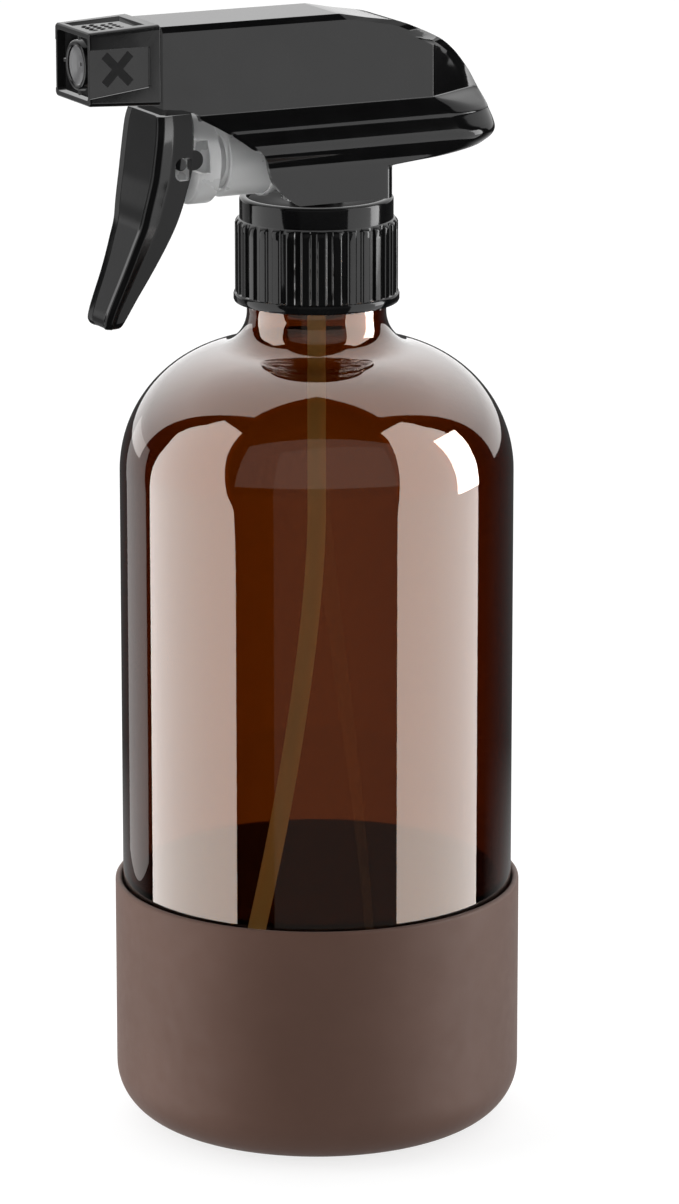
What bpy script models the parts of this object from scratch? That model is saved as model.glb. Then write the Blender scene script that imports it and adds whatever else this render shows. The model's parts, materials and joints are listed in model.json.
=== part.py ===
"""Trigger spray bottle: a 500 ml Boston round glass bottle in a silicone boot, with a 28-400 trigger sprayer.

Metres, +Z up. The bottle's axis is the Z axis and the boot stands on Z = 0. +X is the way it sprays.
"""

import math

import bmesh
import bpy
from mathutils import Matrix, Vector

MM = 0.001
GAP = 0.3 * MM
BODY_STEPS = 36

# Boot and bottle
BOOT_RADIUS = 39.0 * MM
BOOT_HEIGHT = 47.3 * MM
BOOT_FLOOR = 1.6 * MM
BOOT_HEEL = 10.2 * MM
BODY_RADIUS = 37.5 * MM
GLASS_WALL = 2.4 * MM
GLASS_HEEL = 9.0 * MM
GLASS_FLOOR = 4.5 * MM
PUNT_RADIUS = 26.0 * MM
PUNT_DEPTH = 2.0 * MM
SHOULDER_START = 127.6 * MM
SHOULDER_RADIUS = 24.6 * MM
NECK_FILLET = 7.0 * MM
NECK_RADIUS = 13.2 * MM
FINISH_RADIUS = 12.5 * MM
FINISH_BOTTOM = 161.0 * MM
LIP_TOP = 170.4 * MM
BORE_RADIUS = 9.4 * MM
LIP_ROUND = 0.8 * MM

# Thread shared by the bottle's finish and the closure
THREAD_PITCH = 25.4 * MM / 6
THREAD_TURNS = 1.3
THREAD_START = 162.4 * MM
THREAD_CREST = 13.65 * MM
THREAD_ROOT_WIDTH = 1.9 * MM
THREAD_CREST_WIDTH = 0.9 * MM
THREAD_SINK = 0.3 * MM

# Closure
CLOSURE_BOTTOM = 160.4 * MM
CLOSURE_TOP = 180.5 * MM
CLOSURE_FLANGE = 15.7 * MM
CLOSURE_FLANGE_TOP = 162.2 * MM
CLOSURE_RIB_TOP = 176.2 * MM
CLOSURE_GROOVE = 14.85 * MM
CLOSURE_RIB = 15.4 * MM
CLOSURE_RIBS = 32
COLLAR_RADIUS = 14.55 * MM
SKIRT_BORE = 14.0 * MM
PANEL_BOTTOM = 174.2 * MM
PANEL_TOP = 176.4 * MM
PANEL_HOLE = 10.5 * MM
COLLAR_BORE = 13.2 * MM

# Gasket and the insert that holds the dip tube and the inlet valve
GASKET_BOTTOM = LIP_TOP + GAP
GASKET_TOP = GASKET_BOTTOM + 1.5 * MM
GASKET_RADIUS = 13.2 * MM
GASKET_BORE = 9.2 * MM
FLANGE_TOP = PANEL_BOTTOM - GAP
FLANGE_RADIUS = 13.3 * MM
PLUG_RADIUS = 5.0 * MM
PLUG_TOP = 183.0 * MM
SOCKET_RADIUS = 3.6 * MM
SOCKET_BOTTOM = 161.5 * MM
TUBE_RADIUS = 1.75 * MM
TUBE_BORE = 1.2 * MM
TUBE_TOP = 171.0 * MM
BALL_RADIUS = 2.0 * MM
SEAT_TOP = 176.5 * MM
CHAMBER_RADIUS = 2.9 * MM
BALL_LIFT = 1.2 * MM
BALL_HEIGHT = SEAT_TOP + 1.15 * MM

# Pump body
SPRAY_HEIGHT = 208.65 * MM
SPRAY_TUBE_RADIUS = 3.9 * MM
SPRAY_BORE = 2.6 * MM
SPRAY_TUBE_END = 45.0 * MM
CYLINDER_HEIGHT = 189.4 * MM
CYLINDER_RADIUS = 7.5 * MM
CYLINDER_BORE = 6.2 * MM
CYLINDER_FRONT = 21.2 * MM
CYLINDER_BACK = 7.0 * MM
FRAME_HALF = 6.3 * MM
FRAME_FRONT = 17.0 * MM
RISER_RADIUS = 6.6 * MM
RISER_BORE = 5.3 * MM
RISER_PASSAGE = 2.2 * MM
BASE_BOTTOM = PANEL_TOP + GAP + 0.4 * MM
BASE_TOP = 180.0 * MM
BASE_RADIUS = 12.9 * MM

# Shroud
SHROUD_FRONT = 35.3 * MM
SHROUD_TOP = 215.7 * MM
SHROUD_WALL = 1.2 * MM

# Nozzle cap
NOZZLE_BACK = 35.6 * MM
NOZZLE_FRONT = 49.9 * MM

# Trigger
PIVOT = Vector((31.4 * MM, 0.0, 205.4 * MM))
PIVOT_PIN = 1.3 * MM
ARM_RADIUS = 2.3 * MM
PISTON_PIN = 1.2 * MM
PISTON_PIN_X = 30.4 * MM
CUP_RADIUS = 8.4 * MM
CUP_FRONT = 28.0 * MM
CUP_REAR = 23.6 * MM
EAR_RADIUS = 1.9 * MM
EAR_REAR = 26.5 * MM
EAR_HEIGHT = CYLINDER_HEIGHT + 0.9 * MM
PISTON_REAR = 15.0 * MM
PISTON_STEM = 4.7 * MM
SPRING_REAR = 7.3 * MM
SPRING_FRONT = 23.8 * MM
SPRING_POCKET = 3.8 * MM


def clear_scene():
    for old in list(bpy.data.objects):
        bpy.data.objects.remove(old, do_unlink=True)


def new_collection(name, hidden=False):
    group = bpy.data.collections.new(name)
    bpy.context.scene.collection.children.link(group)
    group.hide_render = hidden
    return group


def make_material(name, color, roughness, metallic=0.0, transmission=0.0):
    material = bpy.data.materials.new(name)
    material.use_nodes = True
    shader = material.node_tree.nodes["Principled BSDF"]
    shader.inputs["Base Color"].default_value = (*color, 1.0)
    shader.inputs["Roughness"].default_value = roughness
    shader.inputs["Metallic"].default_value = metallic
    shader.inputs["Transmission Weight"].default_value = transmission
    material.diffuse_color = (*color, 1.0)
    return material


clear_scene()
PARTS = new_collection("spray_bottle")
CUTTERS = new_collection("cutters", hidden=True)
AMBER = make_material("amber_glass", (0.20, 0.07, 0.02), 0.05, transmission=1.0)
BOOT = make_material("brown_silicone", (0.13, 0.075, 0.055), 0.6)
BLACK = make_material("black_polypropylene", (0.012, 0.012, 0.013), 0.2)
NATURAL = make_material("natural_polypropylene", (0.62, 0.63, 0.63), 0.35, transmission=0.4)
TUBING = make_material("polyethylene_tube", (0.55, 0.50, 0.45), 0.3, transmission=0.5)
STEEL = make_material("stainless_steel", (0.6, 0.6, 0.62), 0.2, metallic=1.0)
RUBBER = make_material("white_elastomer", (0.7, 0.7, 0.68), 0.6)
GREY = make_material("grey_polypropylene", (0.10, 0.10, 0.10), 0.3)


def add(name, mesh, material=None, cutter=False):
    obj = bpy.data.objects.new(name, mesh)
    if cutter:
        CUTTERS.objects.link(obj)
        obj.hide_render = True
        obj.display_type = "WIRE"
    else:
        PARTS.objects.link(obj)
        mesh.materials.append(material)
    return obj


def smooth(obj, angle=35.0):
    obj.data.shade_smooth()
    obj.data.set_sharp_from_angle(angle=math.radians(angle))


def turned(name, profile, material=None, steps=48, cutter=False, along_x=False, at=(0, 0, 0)):
    """A closed outline of (radius, height) points, running down its outer side, turned about Z or about X."""
    mesh = bpy.data.meshes.new(name)
    points = [(r, 0.0, z) for r, z in profile]
    on_axis = profile[0][0] == 0.0 and profile[-1][0] == 0.0
    edges = [(i, i + 1) for i in range(len(points) - 1)]
    if not on_axis:
        edges.append((len(points) - 1, 0))
    mesh.from_pydata(points, edges, [])
    obj = add(name, mesh, material, cutter)
    screw = obj.modifiers.new("turn", "SCREW")
    screw.steps = steps
    screw.render_steps = steps
    screw.use_merge_vertices = True
    screw.merge_threshold = 0.00001
    screw.use_smooth_shade = True
    obj.location = at
    if along_x:
        obj.rotation_euler = (0.0, math.radians(90.0), 0.0)
    return obj


def loft(name, rings, material=None, cutter=False, closed_caps=True):
    """Joins closed rings of equal point counts, listed so that the first ring is the lower or rear one."""
    bm = bmesh.new()
    rows = [[bm.verts.new(point) for point in ring] for ring in rings]
    count = len(rows[0])
    for low, high in zip(rows, rows[1:]):
        for i in range(count):
            j = (i + 1) % count
            bm.faces.new((low[i], low[j], high[j], high[i]))
    if closed_caps:
        bm.faces.new(reversed(rows[0]))
        bm.faces.new(rows[-1])
    bmesh.ops.recalc_face_normals(bm, faces=bm.faces)
    mesh = bpy.data.meshes.new(name)
    bm.to_mesh(mesh)
    bm.free()
    return add(name, mesh, material, cutter)


def box(name, low, high, material=None, cutter=False):
    bm = bmesh.new()
    size = [h - l for l, h in zip(low, high)]
    middle = [(h + l) / 2 for l, h in zip(low, high)]
    bmesh.ops.create_cube(bm, size=1.0, matrix=Matrix.Translation(middle) @ Matrix.Diagonal((*size, 1.0)))
    mesh = bpy.data.meshes.new(name)
    bm.to_mesh(mesh)
    bm.free()
    return add(name, mesh, material, cutter)


def rod(name, radius, start, end, material=None, cutter=False, segments=24):
    start, end = Vector(start), Vector(end)
    axis = end - start
    bm = bmesh.new()
    turn = axis.to_track_quat("Z", "Y").to_matrix().to_4x4()
    bmesh.ops.create_cone(
        bm,
        cap_ends=True,
        segments=segments,
        radius1=radius,
        radius2=radius,
        depth=axis.length,
        matrix=Matrix.Translation((start + end) / 2) @ turn,
    )
    mesh = bpy.data.meshes.new(name)
    bm.to_mesh(mesh)
    bm.free()
    obj = add(name, mesh, material, cutter)
    smooth(obj)
    return obj


def side_outline(name, points, half_width, material=None, cutter=False):
    """A flat outline of (x, z) points, extruded to both sides of the XZ plane."""
    rings = [[(x, y, z) for x, z in points] for y in (-half_width, half_width)]
    return loft(name, rings, material, cutter)


def boolean(obj, other, operation="DIFFERENCE"):
    step = obj.modifiers.new(other.name, "BOOLEAN")
    step.operation = operation
    step.solver = "EXACT"
    step.object = other


def arc(centre, radius, start_deg, end_deg, steps):
    angles = [math.radians(start_deg + (end_deg - start_deg) * i / steps) for i in range(steps + 1)]
    return [(centre[0] + radius * math.cos(a), centre[1] + radius * math.sin(a)) for a in angles]


def place_origin(obj, point):
    """Moves the object's origin to a point, such as one on its joint's axis, and leaves its shape in place."""
    shift = Vector(point) - obj.location
    obj.data.transform(Matrix.Translation(-shift))
    obj.location = point


# ---------------------------------------------------------------- boot and bottle


def shoulder_profile(offset):
    """(radius, height) from the neck down to the body, moved in by offset."""
    shoulder_x = BODY_RADIUS - SHOULDER_RADIUS
    fillet_x = NECK_RADIUS + NECK_FILLET
    rise = math.sqrt((SHOULDER_RADIUS + NECK_FILLET) ** 2 - (fillet_x - shoulder_x) ** 2)
    fillet_z = SHOULDER_START + rise
    meet = math.degrees(math.atan2(rise, fillet_x - shoulder_x))
    fillet = arc((fillet_x, fillet_z), NECK_FILLET + offset, 180.0, 180.0 + meet, 4)
    shoulder = arc((shoulder_x, SHOULDER_START), SHOULDER_RADIUS - offset, meet, 0.0, 8)
    return fillet + shoulder[1:]


def build_bottle():
    """The outline runs from the middle of the floor inside, up to the lip and down outside to the punt."""
    base = BOOT_FLOOR + GAP
    floor = base + GLASS_FLOOR
    inner_heel = GLASS_HEEL - GLASS_WALL
    inner_shoulder = [
        (r, z) for r, z in reversed(shoulder_profile(GLASS_WALL)) if r > BORE_RADIUS + LIP_ROUND / 4
    ]
    profile = [(0.0, floor + PUNT_DEPTH / 2)]
    profile += arc((BODY_RADIUS - GLASS_HEEL, floor + inner_heel), inner_heel, -90.0, 0.0, 3)
    profile += inner_shoulder
    profile += [
        (BORE_RADIUS, inner_shoulder[-1][1] + NECK_RADIUS - BORE_RADIUS),
        (BORE_RADIUS, LIP_TOP - LIP_ROUND),
        (BORE_RADIUS + LIP_ROUND, LIP_TOP),
        (FINISH_RADIUS - LIP_ROUND, LIP_TOP),
        (FINISH_RADIUS, LIP_TOP - LIP_ROUND),
        (FINISH_RADIUS, FINISH_BOTTOM),
        (NECK_RADIUS, FINISH_BOTTOM - LIP_ROUND),
    ]
    profile += shoulder_profile(0.0)
    profile += arc((BODY_RADIUS - GLASS_HEEL, base + GLASS_HEEL), GLASS_HEEL, 0.0, -90.0, 4)
    profile += [(PUNT_RADIUS, base), (PUNT_RADIUS * 0.8, base + PUNT_DEPTH * 0.7), (0.0, base + PUNT_DEPTH)]
    bottle = turned("glass_bottle", profile, AMBER, steps=BODY_STEPS)
    thread = thread_ridge("bottle_thread", FINISH_RADIUS - THREAD_SINK, THREAD_CREST, THREAD_START)
    boolean(bottle, thread, "UNION")
    return bottle


def thread_ridge(name, root, crest, start, turns=THREAD_TURNS, steps_per_turn=20):
    """A right-hand helical ridge with tapered ends, used as one side of a Boolean union."""
    steps = int(turns * steps_per_turn)
    side = 1.0 if crest > root else -1.0
    rings = []
    for i in range(steps + 1):
        share = i / steps
        angle = turns * math.tau * share
        height = start + THREAD_PITCH * turns * share
        fade = min(1.0, 8.0 * min(share, 1.0 - share) + 0.15)
        top = root + side * abs(crest - root) * fade
        section = [
            (root, -THREAD_ROOT_WIDTH / 2),
            (top, -THREAD_CREST_WIDTH / 2),
            (top, THREAD_CREST_WIDTH / 2),
            (root, THREAD_ROOT_WIDTH / 2),
        ]
        rings.append([(r * math.cos(angle), r * math.sin(angle), height + dz) for r, dz in section])
    return loft(name, rings, cutter=True)


def build_boot():
    inner_radius = BODY_RADIUS + GAP
    inner_heel = GLASS_HEEL + GAP
    profile = [(0.0, BOOT_FLOOR)]
    profile += arc((inner_radius - inner_heel, BOOT_FLOOR + inner_heel), inner_heel, -90.0, 0.0, 4)
    lip = 0.5 * MM
    profile += [
        (inner_radius, BOOT_HEIGHT - lip),
        (inner_radius + lip * 0.4, BOOT_HEIGHT),
        (BOOT_RADIUS - lip * 0.4, BOOT_HEIGHT),
        (BOOT_RADIUS, BOOT_HEIGHT - lip),
    ]
    profile += arc((BOOT_RADIUS - BOOT_HEEL, BOOT_HEEL), BOOT_HEEL, 0.0, -90.0, 5)
    profile += [(0.0, 0.0)]
    return turned("silicone_boot", profile, BOOT, steps=BODY_STEPS)


# ---------------------------------------------------------------- closure, gasket, insert, dip tube


def build_closure():
    half_pitch = math.pi / CLOSURE_RIBS
    rib_half = 0.36 * half_pitch
    foot_half = 0.58 * half_pitch

    def outline(groove, rib, height):
        ring = []
        for i in range(CLOSURE_RIBS):
            middle = math.tau * i / CLOSURE_RIBS
            for offset, radius in ((-foot_half, groove), (-rib_half, rib), (rib_half, rib), (foot_half, groove)):
                angle = middle + offset
                ring.append((radius * math.cos(angle), radius * math.sin(angle), height))
        return ring

    chamfer = 0.4 * MM
    rings = [
        outline(CLOSURE_FLANGE, CLOSURE_FLANGE, CLOSURE_BOTTOM),
        outline(CLOSURE_FLANGE, CLOSURE_FLANGE, CLOSURE_FLANGE_TOP - chamfer),
        outline(CLOSURE_GROOVE, CLOSURE_RIB, CLOSURE_FLANGE_TOP),
        outline(CLOSURE_GROOVE, CLOSURE_RIB, CLOSURE_RIB_TOP - chamfer),
        outline(COLLAR_RADIUS, COLLAR_RADIUS, CLOSURE_RIB_TOP),
        outline(COLLAR_RADIUS, COLLAR_RADIUS, CLOSURE_TOP),
    ]
    closure = loft("screw_closure", rings, BLACK)
    over = 1.0 * MM
    bore = turned(
        "closure_bore",
        [
            (0.0, CLOSURE_TOP + over),
            (COLLAR_BORE, CLOSURE_TOP + over),
            (COLLAR_BORE, PANEL_TOP),
            (PANEL_HOLE, PANEL_TOP),
            (PANEL_HOLE, PANEL_BOTTOM),
            (SKIRT_BORE, PANEL_BOTTOM),
            (SKIRT_BORE, CLOSURE_BOTTOM - over),
            (0.0, CLOSURE_BOTTOM - over),
        ],
        steps=36,
        cutter=True,
    )
    boolean(closure, bore)
    thread_inside = FINISH_RADIUS + 0.35 * MM
    thread_start = THREAD_START + THREAD_PITCH / 2
    thread = thread_ridge("closure_thread", SKIRT_BORE + THREAD_SINK, thread_inside, thread_start)
    boolean(closure, thread, "UNION")
    smooth(closure, 30.0)
    return closure


def build_gasket():
    profile = [
        (GASKET_BORE, GASKET_TOP),
        (GASKET_RADIUS, GASKET_TOP),
        (GASKET_RADIUS, GASKET_BOTTOM),
        (GASKET_BORE, GASKET_BOTTOM),
    ]
    return turned("neck_gasket", profile, RUBBER, steps=40)


def build_insert():
    bottom = GASKET_TOP + GAP
    profile = [
        (CHAMBER_RADIUS, PLUG_TOP),
        (PLUG_RADIUS, PLUG_TOP),
        (PLUG_RADIUS, PANEL_TOP + GAP),
        (PANEL_HOLE - GAP, PANEL_TOP + GAP),
        (PANEL_HOLE - GAP, FLANGE_TOP),
        (FLANGE_RADIUS, FLANGE_TOP),
        (FLANGE_RADIUS, bottom),
        (SOCKET_RADIUS, bottom),
        (SOCKET_RADIUS, SOCKET_BOTTOM),
        (TUBE_RADIUS + GAP, SOCKET_BOTTOM),
        (TUBE_RADIUS + GAP, TUBE_TOP + GAP),
        (TUBE_BORE, TUBE_TOP + GAP),
        (TUBE_BORE, SEAT_TOP - 1.6 * MM),
        (CHAMBER_RADIUS, SEAT_TOP),
    ]
    return turned("dip_tube_insert", profile, NATURAL, steps=28)


def dip_tube_route():
    """A straight drop from the insert, then the curve that tubing cut from a coil keeps."""
    straight_to = 118.0 * MM
    bottom = 8.6 * MM
    reach = 21.0 * MM
    points = [(0.0, TUBE_TOP), (0.0, 150.0 * MM), (0.0, 135.0 * MM)]
    steps = 16
    for i in range(steps + 1):
        share = i / steps
        height = straight_to + (bottom - straight_to) * share
        points.append((reach * share**1.55, height))
    return points


def build_dip_tube():
    curve = bpy.data.curves.new("dip_tube", "CURVE")
    curve.dimensions = "3D"
    route = dip_tube_route()
    line = curve.splines.new("POLY")
    line.points.add(len(route) - 1)
    for point, (x, z) in zip(line.points, route):
        point.co = (x, 0.0, z, 1.0)
    curve.bevel_depth = TUBE_RADIUS
    curve.bevel_resolution = 2
    curve.use_fill_caps = True
    return add("dip_tube", curve, TUBING)


def build_inlet_ball():
    bm = bmesh.new()
    bmesh.ops.create_uvsphere(bm, u_segments=16, v_segments=10, radius=BALL_RADIUS)
    mesh = bpy.data.meshes.new("inlet_ball")
    bm.to_mesh(mesh)
    bm.free()
    obj = add("inlet_ball", mesh, STEEL)
    obj.data.shade_smooth()
    obj.location = (0.0, 0.0, BALL_HEIGHT)
    return obj


def build_ball_retainer():
    low = BALL_HEIGHT + BALL_RADIUS + BALL_LIFT + GAP
    high = PLUG_TOP - 0.2 * MM
    outer = CHAMBER_RADIUS - 0.1 * MM
    profile = [(TUBE_BORE, high), (outer, high), (outer, low), (TUBE_BORE, low)]
    return turned("ball_retainer", profile, NATURAL, steps=24)


# ---------------------------------------------------------------- pump body and what moves in it


def build_pump_body():
    """Riser, base flange, cylinder and spray tube, moulded in one piece."""
    body = turned(
        "pump_body",
        [
            (0.0, SPRAY_HEIGHT),
            (RISER_RADIUS - 1.5 * MM, SPRAY_HEIGHT),
            (RISER_RADIUS, SPRAY_HEIGHT - 4.0 * MM),
            (RISER_RADIUS, BASE_TOP),
            (BASE_RADIUS, BASE_TOP),
            (BASE_RADIUS, BASE_BOTTOM),
            (0.0, BASE_BOTTOM),
        ],
        NATURAL,
        steps=40,
    )
    barrel = turned(
        "cylinder_wall",
        [
            (0.0, CYLINDER_FRONT),
            (CYLINDER_RADIUS - 0.4 * MM, CYLINDER_FRONT),
            (CYLINDER_RADIUS, CYLINDER_FRONT - 0.8 * MM),
            (CYLINDER_RADIUS, CYLINDER_BACK - 3.0 * MM),
            (0.0, CYLINDER_BACK - 3.0 * MM),
        ],
        steps=36,
        cutter=True,
        along_x=True,
        at=(0.0, 0.0, CYLINDER_HEIGHT),
    )
    spray_tube = turned(
        "spray_tube_wall",
        [
            (0.0, SPRAY_TUBE_END),
            (SPRAY_TUBE_RADIUS - 0.4 * MM, SPRAY_TUBE_END),
            (SPRAY_TUBE_RADIUS, SPRAY_TUBE_END - 0.6 * MM),
            (SPRAY_TUBE_RADIUS, -3.0 * MM),
            (0.0, -3.0 * MM),
        ],
        steps=24,
        cutter=True,
        along_x=True,
        at=(0.0, 0.0, SPRAY_HEIGHT),
    )
    frame = box(
        "body_frame",
        (0.0, -FRAME_HALF, CYLINDER_HEIGHT + 1.0 * MM),
        (FRAME_FRONT, FRAME_HALF, SPRAY_HEIGHT - 1.5 * MM),
        cutter=True,
    )
    trunnions = rod(
        "trigger_trunnions",
        PIVOT_PIN,
        PIVOT - Vector((0.0, FRAME_HALF, 0.0)),
        PIVOT + Vector((0.0, FRAME_HALF, 0.0)),
        cutter=True,
        segments=16,
    )
    for extra in (barrel, spray_tube, frame, trunnions):
        boolean(body, extra, "UNION")
    riser_bore = turned(
        "riser_bore",
        [
            (0.0, SPRAY_HEIGHT - 1.5 * MM),
            (RISER_PASSAGE, SPRAY_HEIGHT - 1.5 * MM),
            (RISER_PASSAGE, PLUG_TOP + 1.5 * MM),
            (RISER_BORE, PLUG_TOP + 0.8 * MM),
            (RISER_BORE, BASE_BOTTOM - 1.0 * MM),
            (0.0, BASE_BOTTOM - 1.0 * MM),
        ],
        steps=24,
        cutter=True,
    )
    cylinder_bore = rod(
        "cylinder_bore",
        CYLINDER_BORE,
        (CYLINDER_BACK, 0.0, CYLINDER_HEIGHT),
        (CYLINDER_FRONT + 1.0 * MM, 0.0, CYLINDER_HEIGHT),
        cutter=True,
        segments=32,
    )
    port = rod(
        "cylinder_port",
        1.0 * MM,
        (0.0, 0.0, CYLINDER_HEIGHT),
        (CYLINDER_BACK + 1.0 * MM, 0.0, CYLINDER_HEIGHT),
        cutter=True,
        segments=12,
    )
    spray_bore = turned(
        "spray_bore",
        [
            (0.0, SPRAY_TUBE_END + 1.0 * MM),
            (SPRAY_BORE, SPRAY_TUBE_END + 1.0 * MM),
            (SPRAY_BORE, 34.0 * MM),
            (1.3 * MM, 33.0 * MM),
            (1.3 * MM, 0.0),
            (0.0, 0.0),
        ],
        steps=20,
        cutter=True,
        along_x=True,
        at=(0.0, 0.0, SPRAY_HEIGHT),
    )
    for hole in (riser_bore, cylinder_bore, port, spray_bore):
        boolean(body, hole)
    return body


def build_piston():
    """A hollow plunger with two seal grooves, a cup over the cylinder's mouth and the pin that the trigger holds."""
    rear = PISTON_REAR
    stem = PISTON_STEM
    throat = 4.2 * MM
    land = CYLINDER_BORE - 0.35 * MM
    profile = [
        (0.0, CUP_FRONT),
        (CUP_RADIUS - 0.4 * MM, CUP_FRONT),
        (CUP_RADIUS, CUP_FRONT - 0.4 * MM),
        (CUP_RADIUS, CUP_REAR),
        (CUP_RADIUS - 0.55 * MM, CUP_REAR),
        (CUP_RADIUS - 0.55 * MM, CUP_FRONT - 0.9 * MM),
        (throat, CUP_FRONT - 0.9 * MM),
        (throat, CUP_REAR + 1.2 * MM),
        (stem, CUP_REAR + 0.7 * MM),
        (stem, rear + 6.0 * MM),
        (land, rear + 5.9 * MM),
        (land, rear + 5.1 * MM),
        (stem, rear + 5.0 * MM),
        (stem, rear + 3.6 * MM),
        (land, rear + 3.5 * MM),
        (land, rear + 2.5 * MM),
        (stem, rear + 2.4 * MM),
        (stem, rear + 1.0 * MM),
        (land, rear + 0.9 * MM),
        (land, rear),
        (SPRING_POCKET, rear),
        (SPRING_POCKET, SPRING_FRONT + GAP),
        (0.0, SPRING_FRONT + GAP),
    ]
    at = (0.0, 0.0, CYLINDER_HEIGHT)
    piston = turned("piston", profile, NATURAL, steps=28, along_x=True, at=at)
    lug = box(
        "piston_lug",
        (CUP_FRONT - 0.5 * MM, -2.6 * MM, CYLINDER_HEIGHT - PISTON_PIN),
        (PISTON_PIN_X, 2.6 * MM, CYLINDER_HEIGHT + PISTON_PIN),
        cutter=True,
    )
    pin = rod(
        "piston_cross_pin",
        PISTON_PIN,
        (PISTON_PIN_X, -6.5 * MM, CYLINDER_HEIGHT),
        (PISTON_PIN_X, 6.5 * MM, CYLINDER_HEIGHT),
        cutter=True,
        segments=16,
    )
    notch_rear = EAR_REAR - 0.5 * MM
    boolean(piston, lug, "UNION")
    boolean(piston, pin, "UNION")
    for side in (-1.0, 1.0):
        near, far = sorted((side * 4.3 * MM, side * 9.0 * MM))
        notch = box(
            f"cup_notch_{'near' if side > 0 else 'far'}",
            (notch_rear, near, EAR_HEIGHT - EAR_RADIUS - 0.5 * MM),
            (CUP_FRONT + 0.2 * MM, far, EAR_HEIGHT + EAR_RADIUS + 1.7 * MM),
            cutter=True,
        )
        boolean(piston, notch)
    return piston


def build_piston_ring(name, low):
    inner = PISTON_STEM + 0.15 * MM
    outer = CYLINDER_BORE - 0.1 * MM
    high = low + 1.0 * MM
    profile = [(inner, high), (outer, high), (outer, low), (inner, low)]
    return turned(name, profile, RUBBER, steps=32, along_x=True, at=(0.0, 0.0, CYLINDER_HEIGHT))


def coil(name, radius, wire, start, end, turns, height, segments=12):
    """A compression spring along X with its end turns closed up."""
    curve = bpy.data.curves.new(name, "CURVE")
    curve.dimensions = "3D"
    steps = int(turns * segments)
    line = curve.splines.new("POLY")
    line.points.add(steps)
    closed = 1.0
    for i, point in enumerate(line.points):
        turn = turns * i / steps
        dead = min(turn, closed) + max(0.0, turn - (turns - closed))
        free = min(max(turn - closed, 0.0), turns - 2 * closed)
        span = end - start - 2 * wire - 2 * closed * 2.2 * wire
        x = start + wire + dead * 2.2 * wire + free / (turns - 2 * closed) * span
        angle = math.tau * turn
        point.co = (x, radius * math.cos(angle), height + radius * math.sin(angle), 1.0)
    curve.bevel_depth = wire
    curve.bevel_resolution = 1
    curve.use_fill_caps = True
    return add(name, curve, STEEL)


# ---------------------------------------------------------------- spray tip


def build_outlet_valve():
    at = (0.0, 0.0, SPRAY_HEIGHT)
    profile = [
        (0.0, 37.4 * MM),
        (0.9 * MM, 37.4 * MM),
        (0.9 * MM, 36.2 * MM),
        (2.0 * MM, 36.0 * MM),
        (2.0 * MM, 35.2 * MM),
        (1.2 * MM, 34.3 * MM),
        (0.0, 34.3 * MM),
    ]
    return turned("outlet_valve", profile, RUBBER, steps=20, along_x=True, at=at)


def build_swirl_plug():
    """The plug pressed in the spray tube's end; its slots spin the liquid before the orifice."""
    at = (0.0, 0.0, SPRAY_HEIGHT)
    profile = [
        (0.0, 45.6 * MM),
        (1.6 * MM, 45.6 * MM),
        (2.3 * MM, 45.0 * MM),
        (2.3 * MM, 40.6 * MM),
        (0.0, 40.6 * MM),
    ]
    plug = turned("swirl_plug", profile, NATURAL, steps=24, along_x=True, at=at)
    for i in range(3):
        angle = math.tau * i / 3
        y, z = 2.4 * MM * math.cos(angle), 2.4 * MM * math.sin(angle)
        slot = rod(
            f"swirl_slot_{i}",
            0.45 * MM,
            (40.0 * MM, y, SPRAY_HEIGHT + z),
            (46.0 * MM, y, SPRAY_HEIGHT + z),
            cutter=True,
            segments=8,
        )
        boolean(plug, slot)
    return plug


def nozzle_ring(half_y, low, high, x, corner):
    """A rounded rectangle in the plane of constant x, three points to each corner."""
    ring = []
    corners = (
        (half_y, high, 0.0),
        (-half_y, high, 90.0),
        (-half_y, low, 180.0),
        (half_y, low, 270.0),
    )
    for y, z, start in corners:
        centre_y = y - math.copysign(corner, y)
        centre_z = z - math.copysign(corner, z - (low + high) / 2)
        for step in range(3):
            angle = math.radians(start + 45.0 * step)
            ring.append((x, centre_y + corner * math.cos(angle), centre_z + corner * math.sin(angle)))
    return ring


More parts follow.
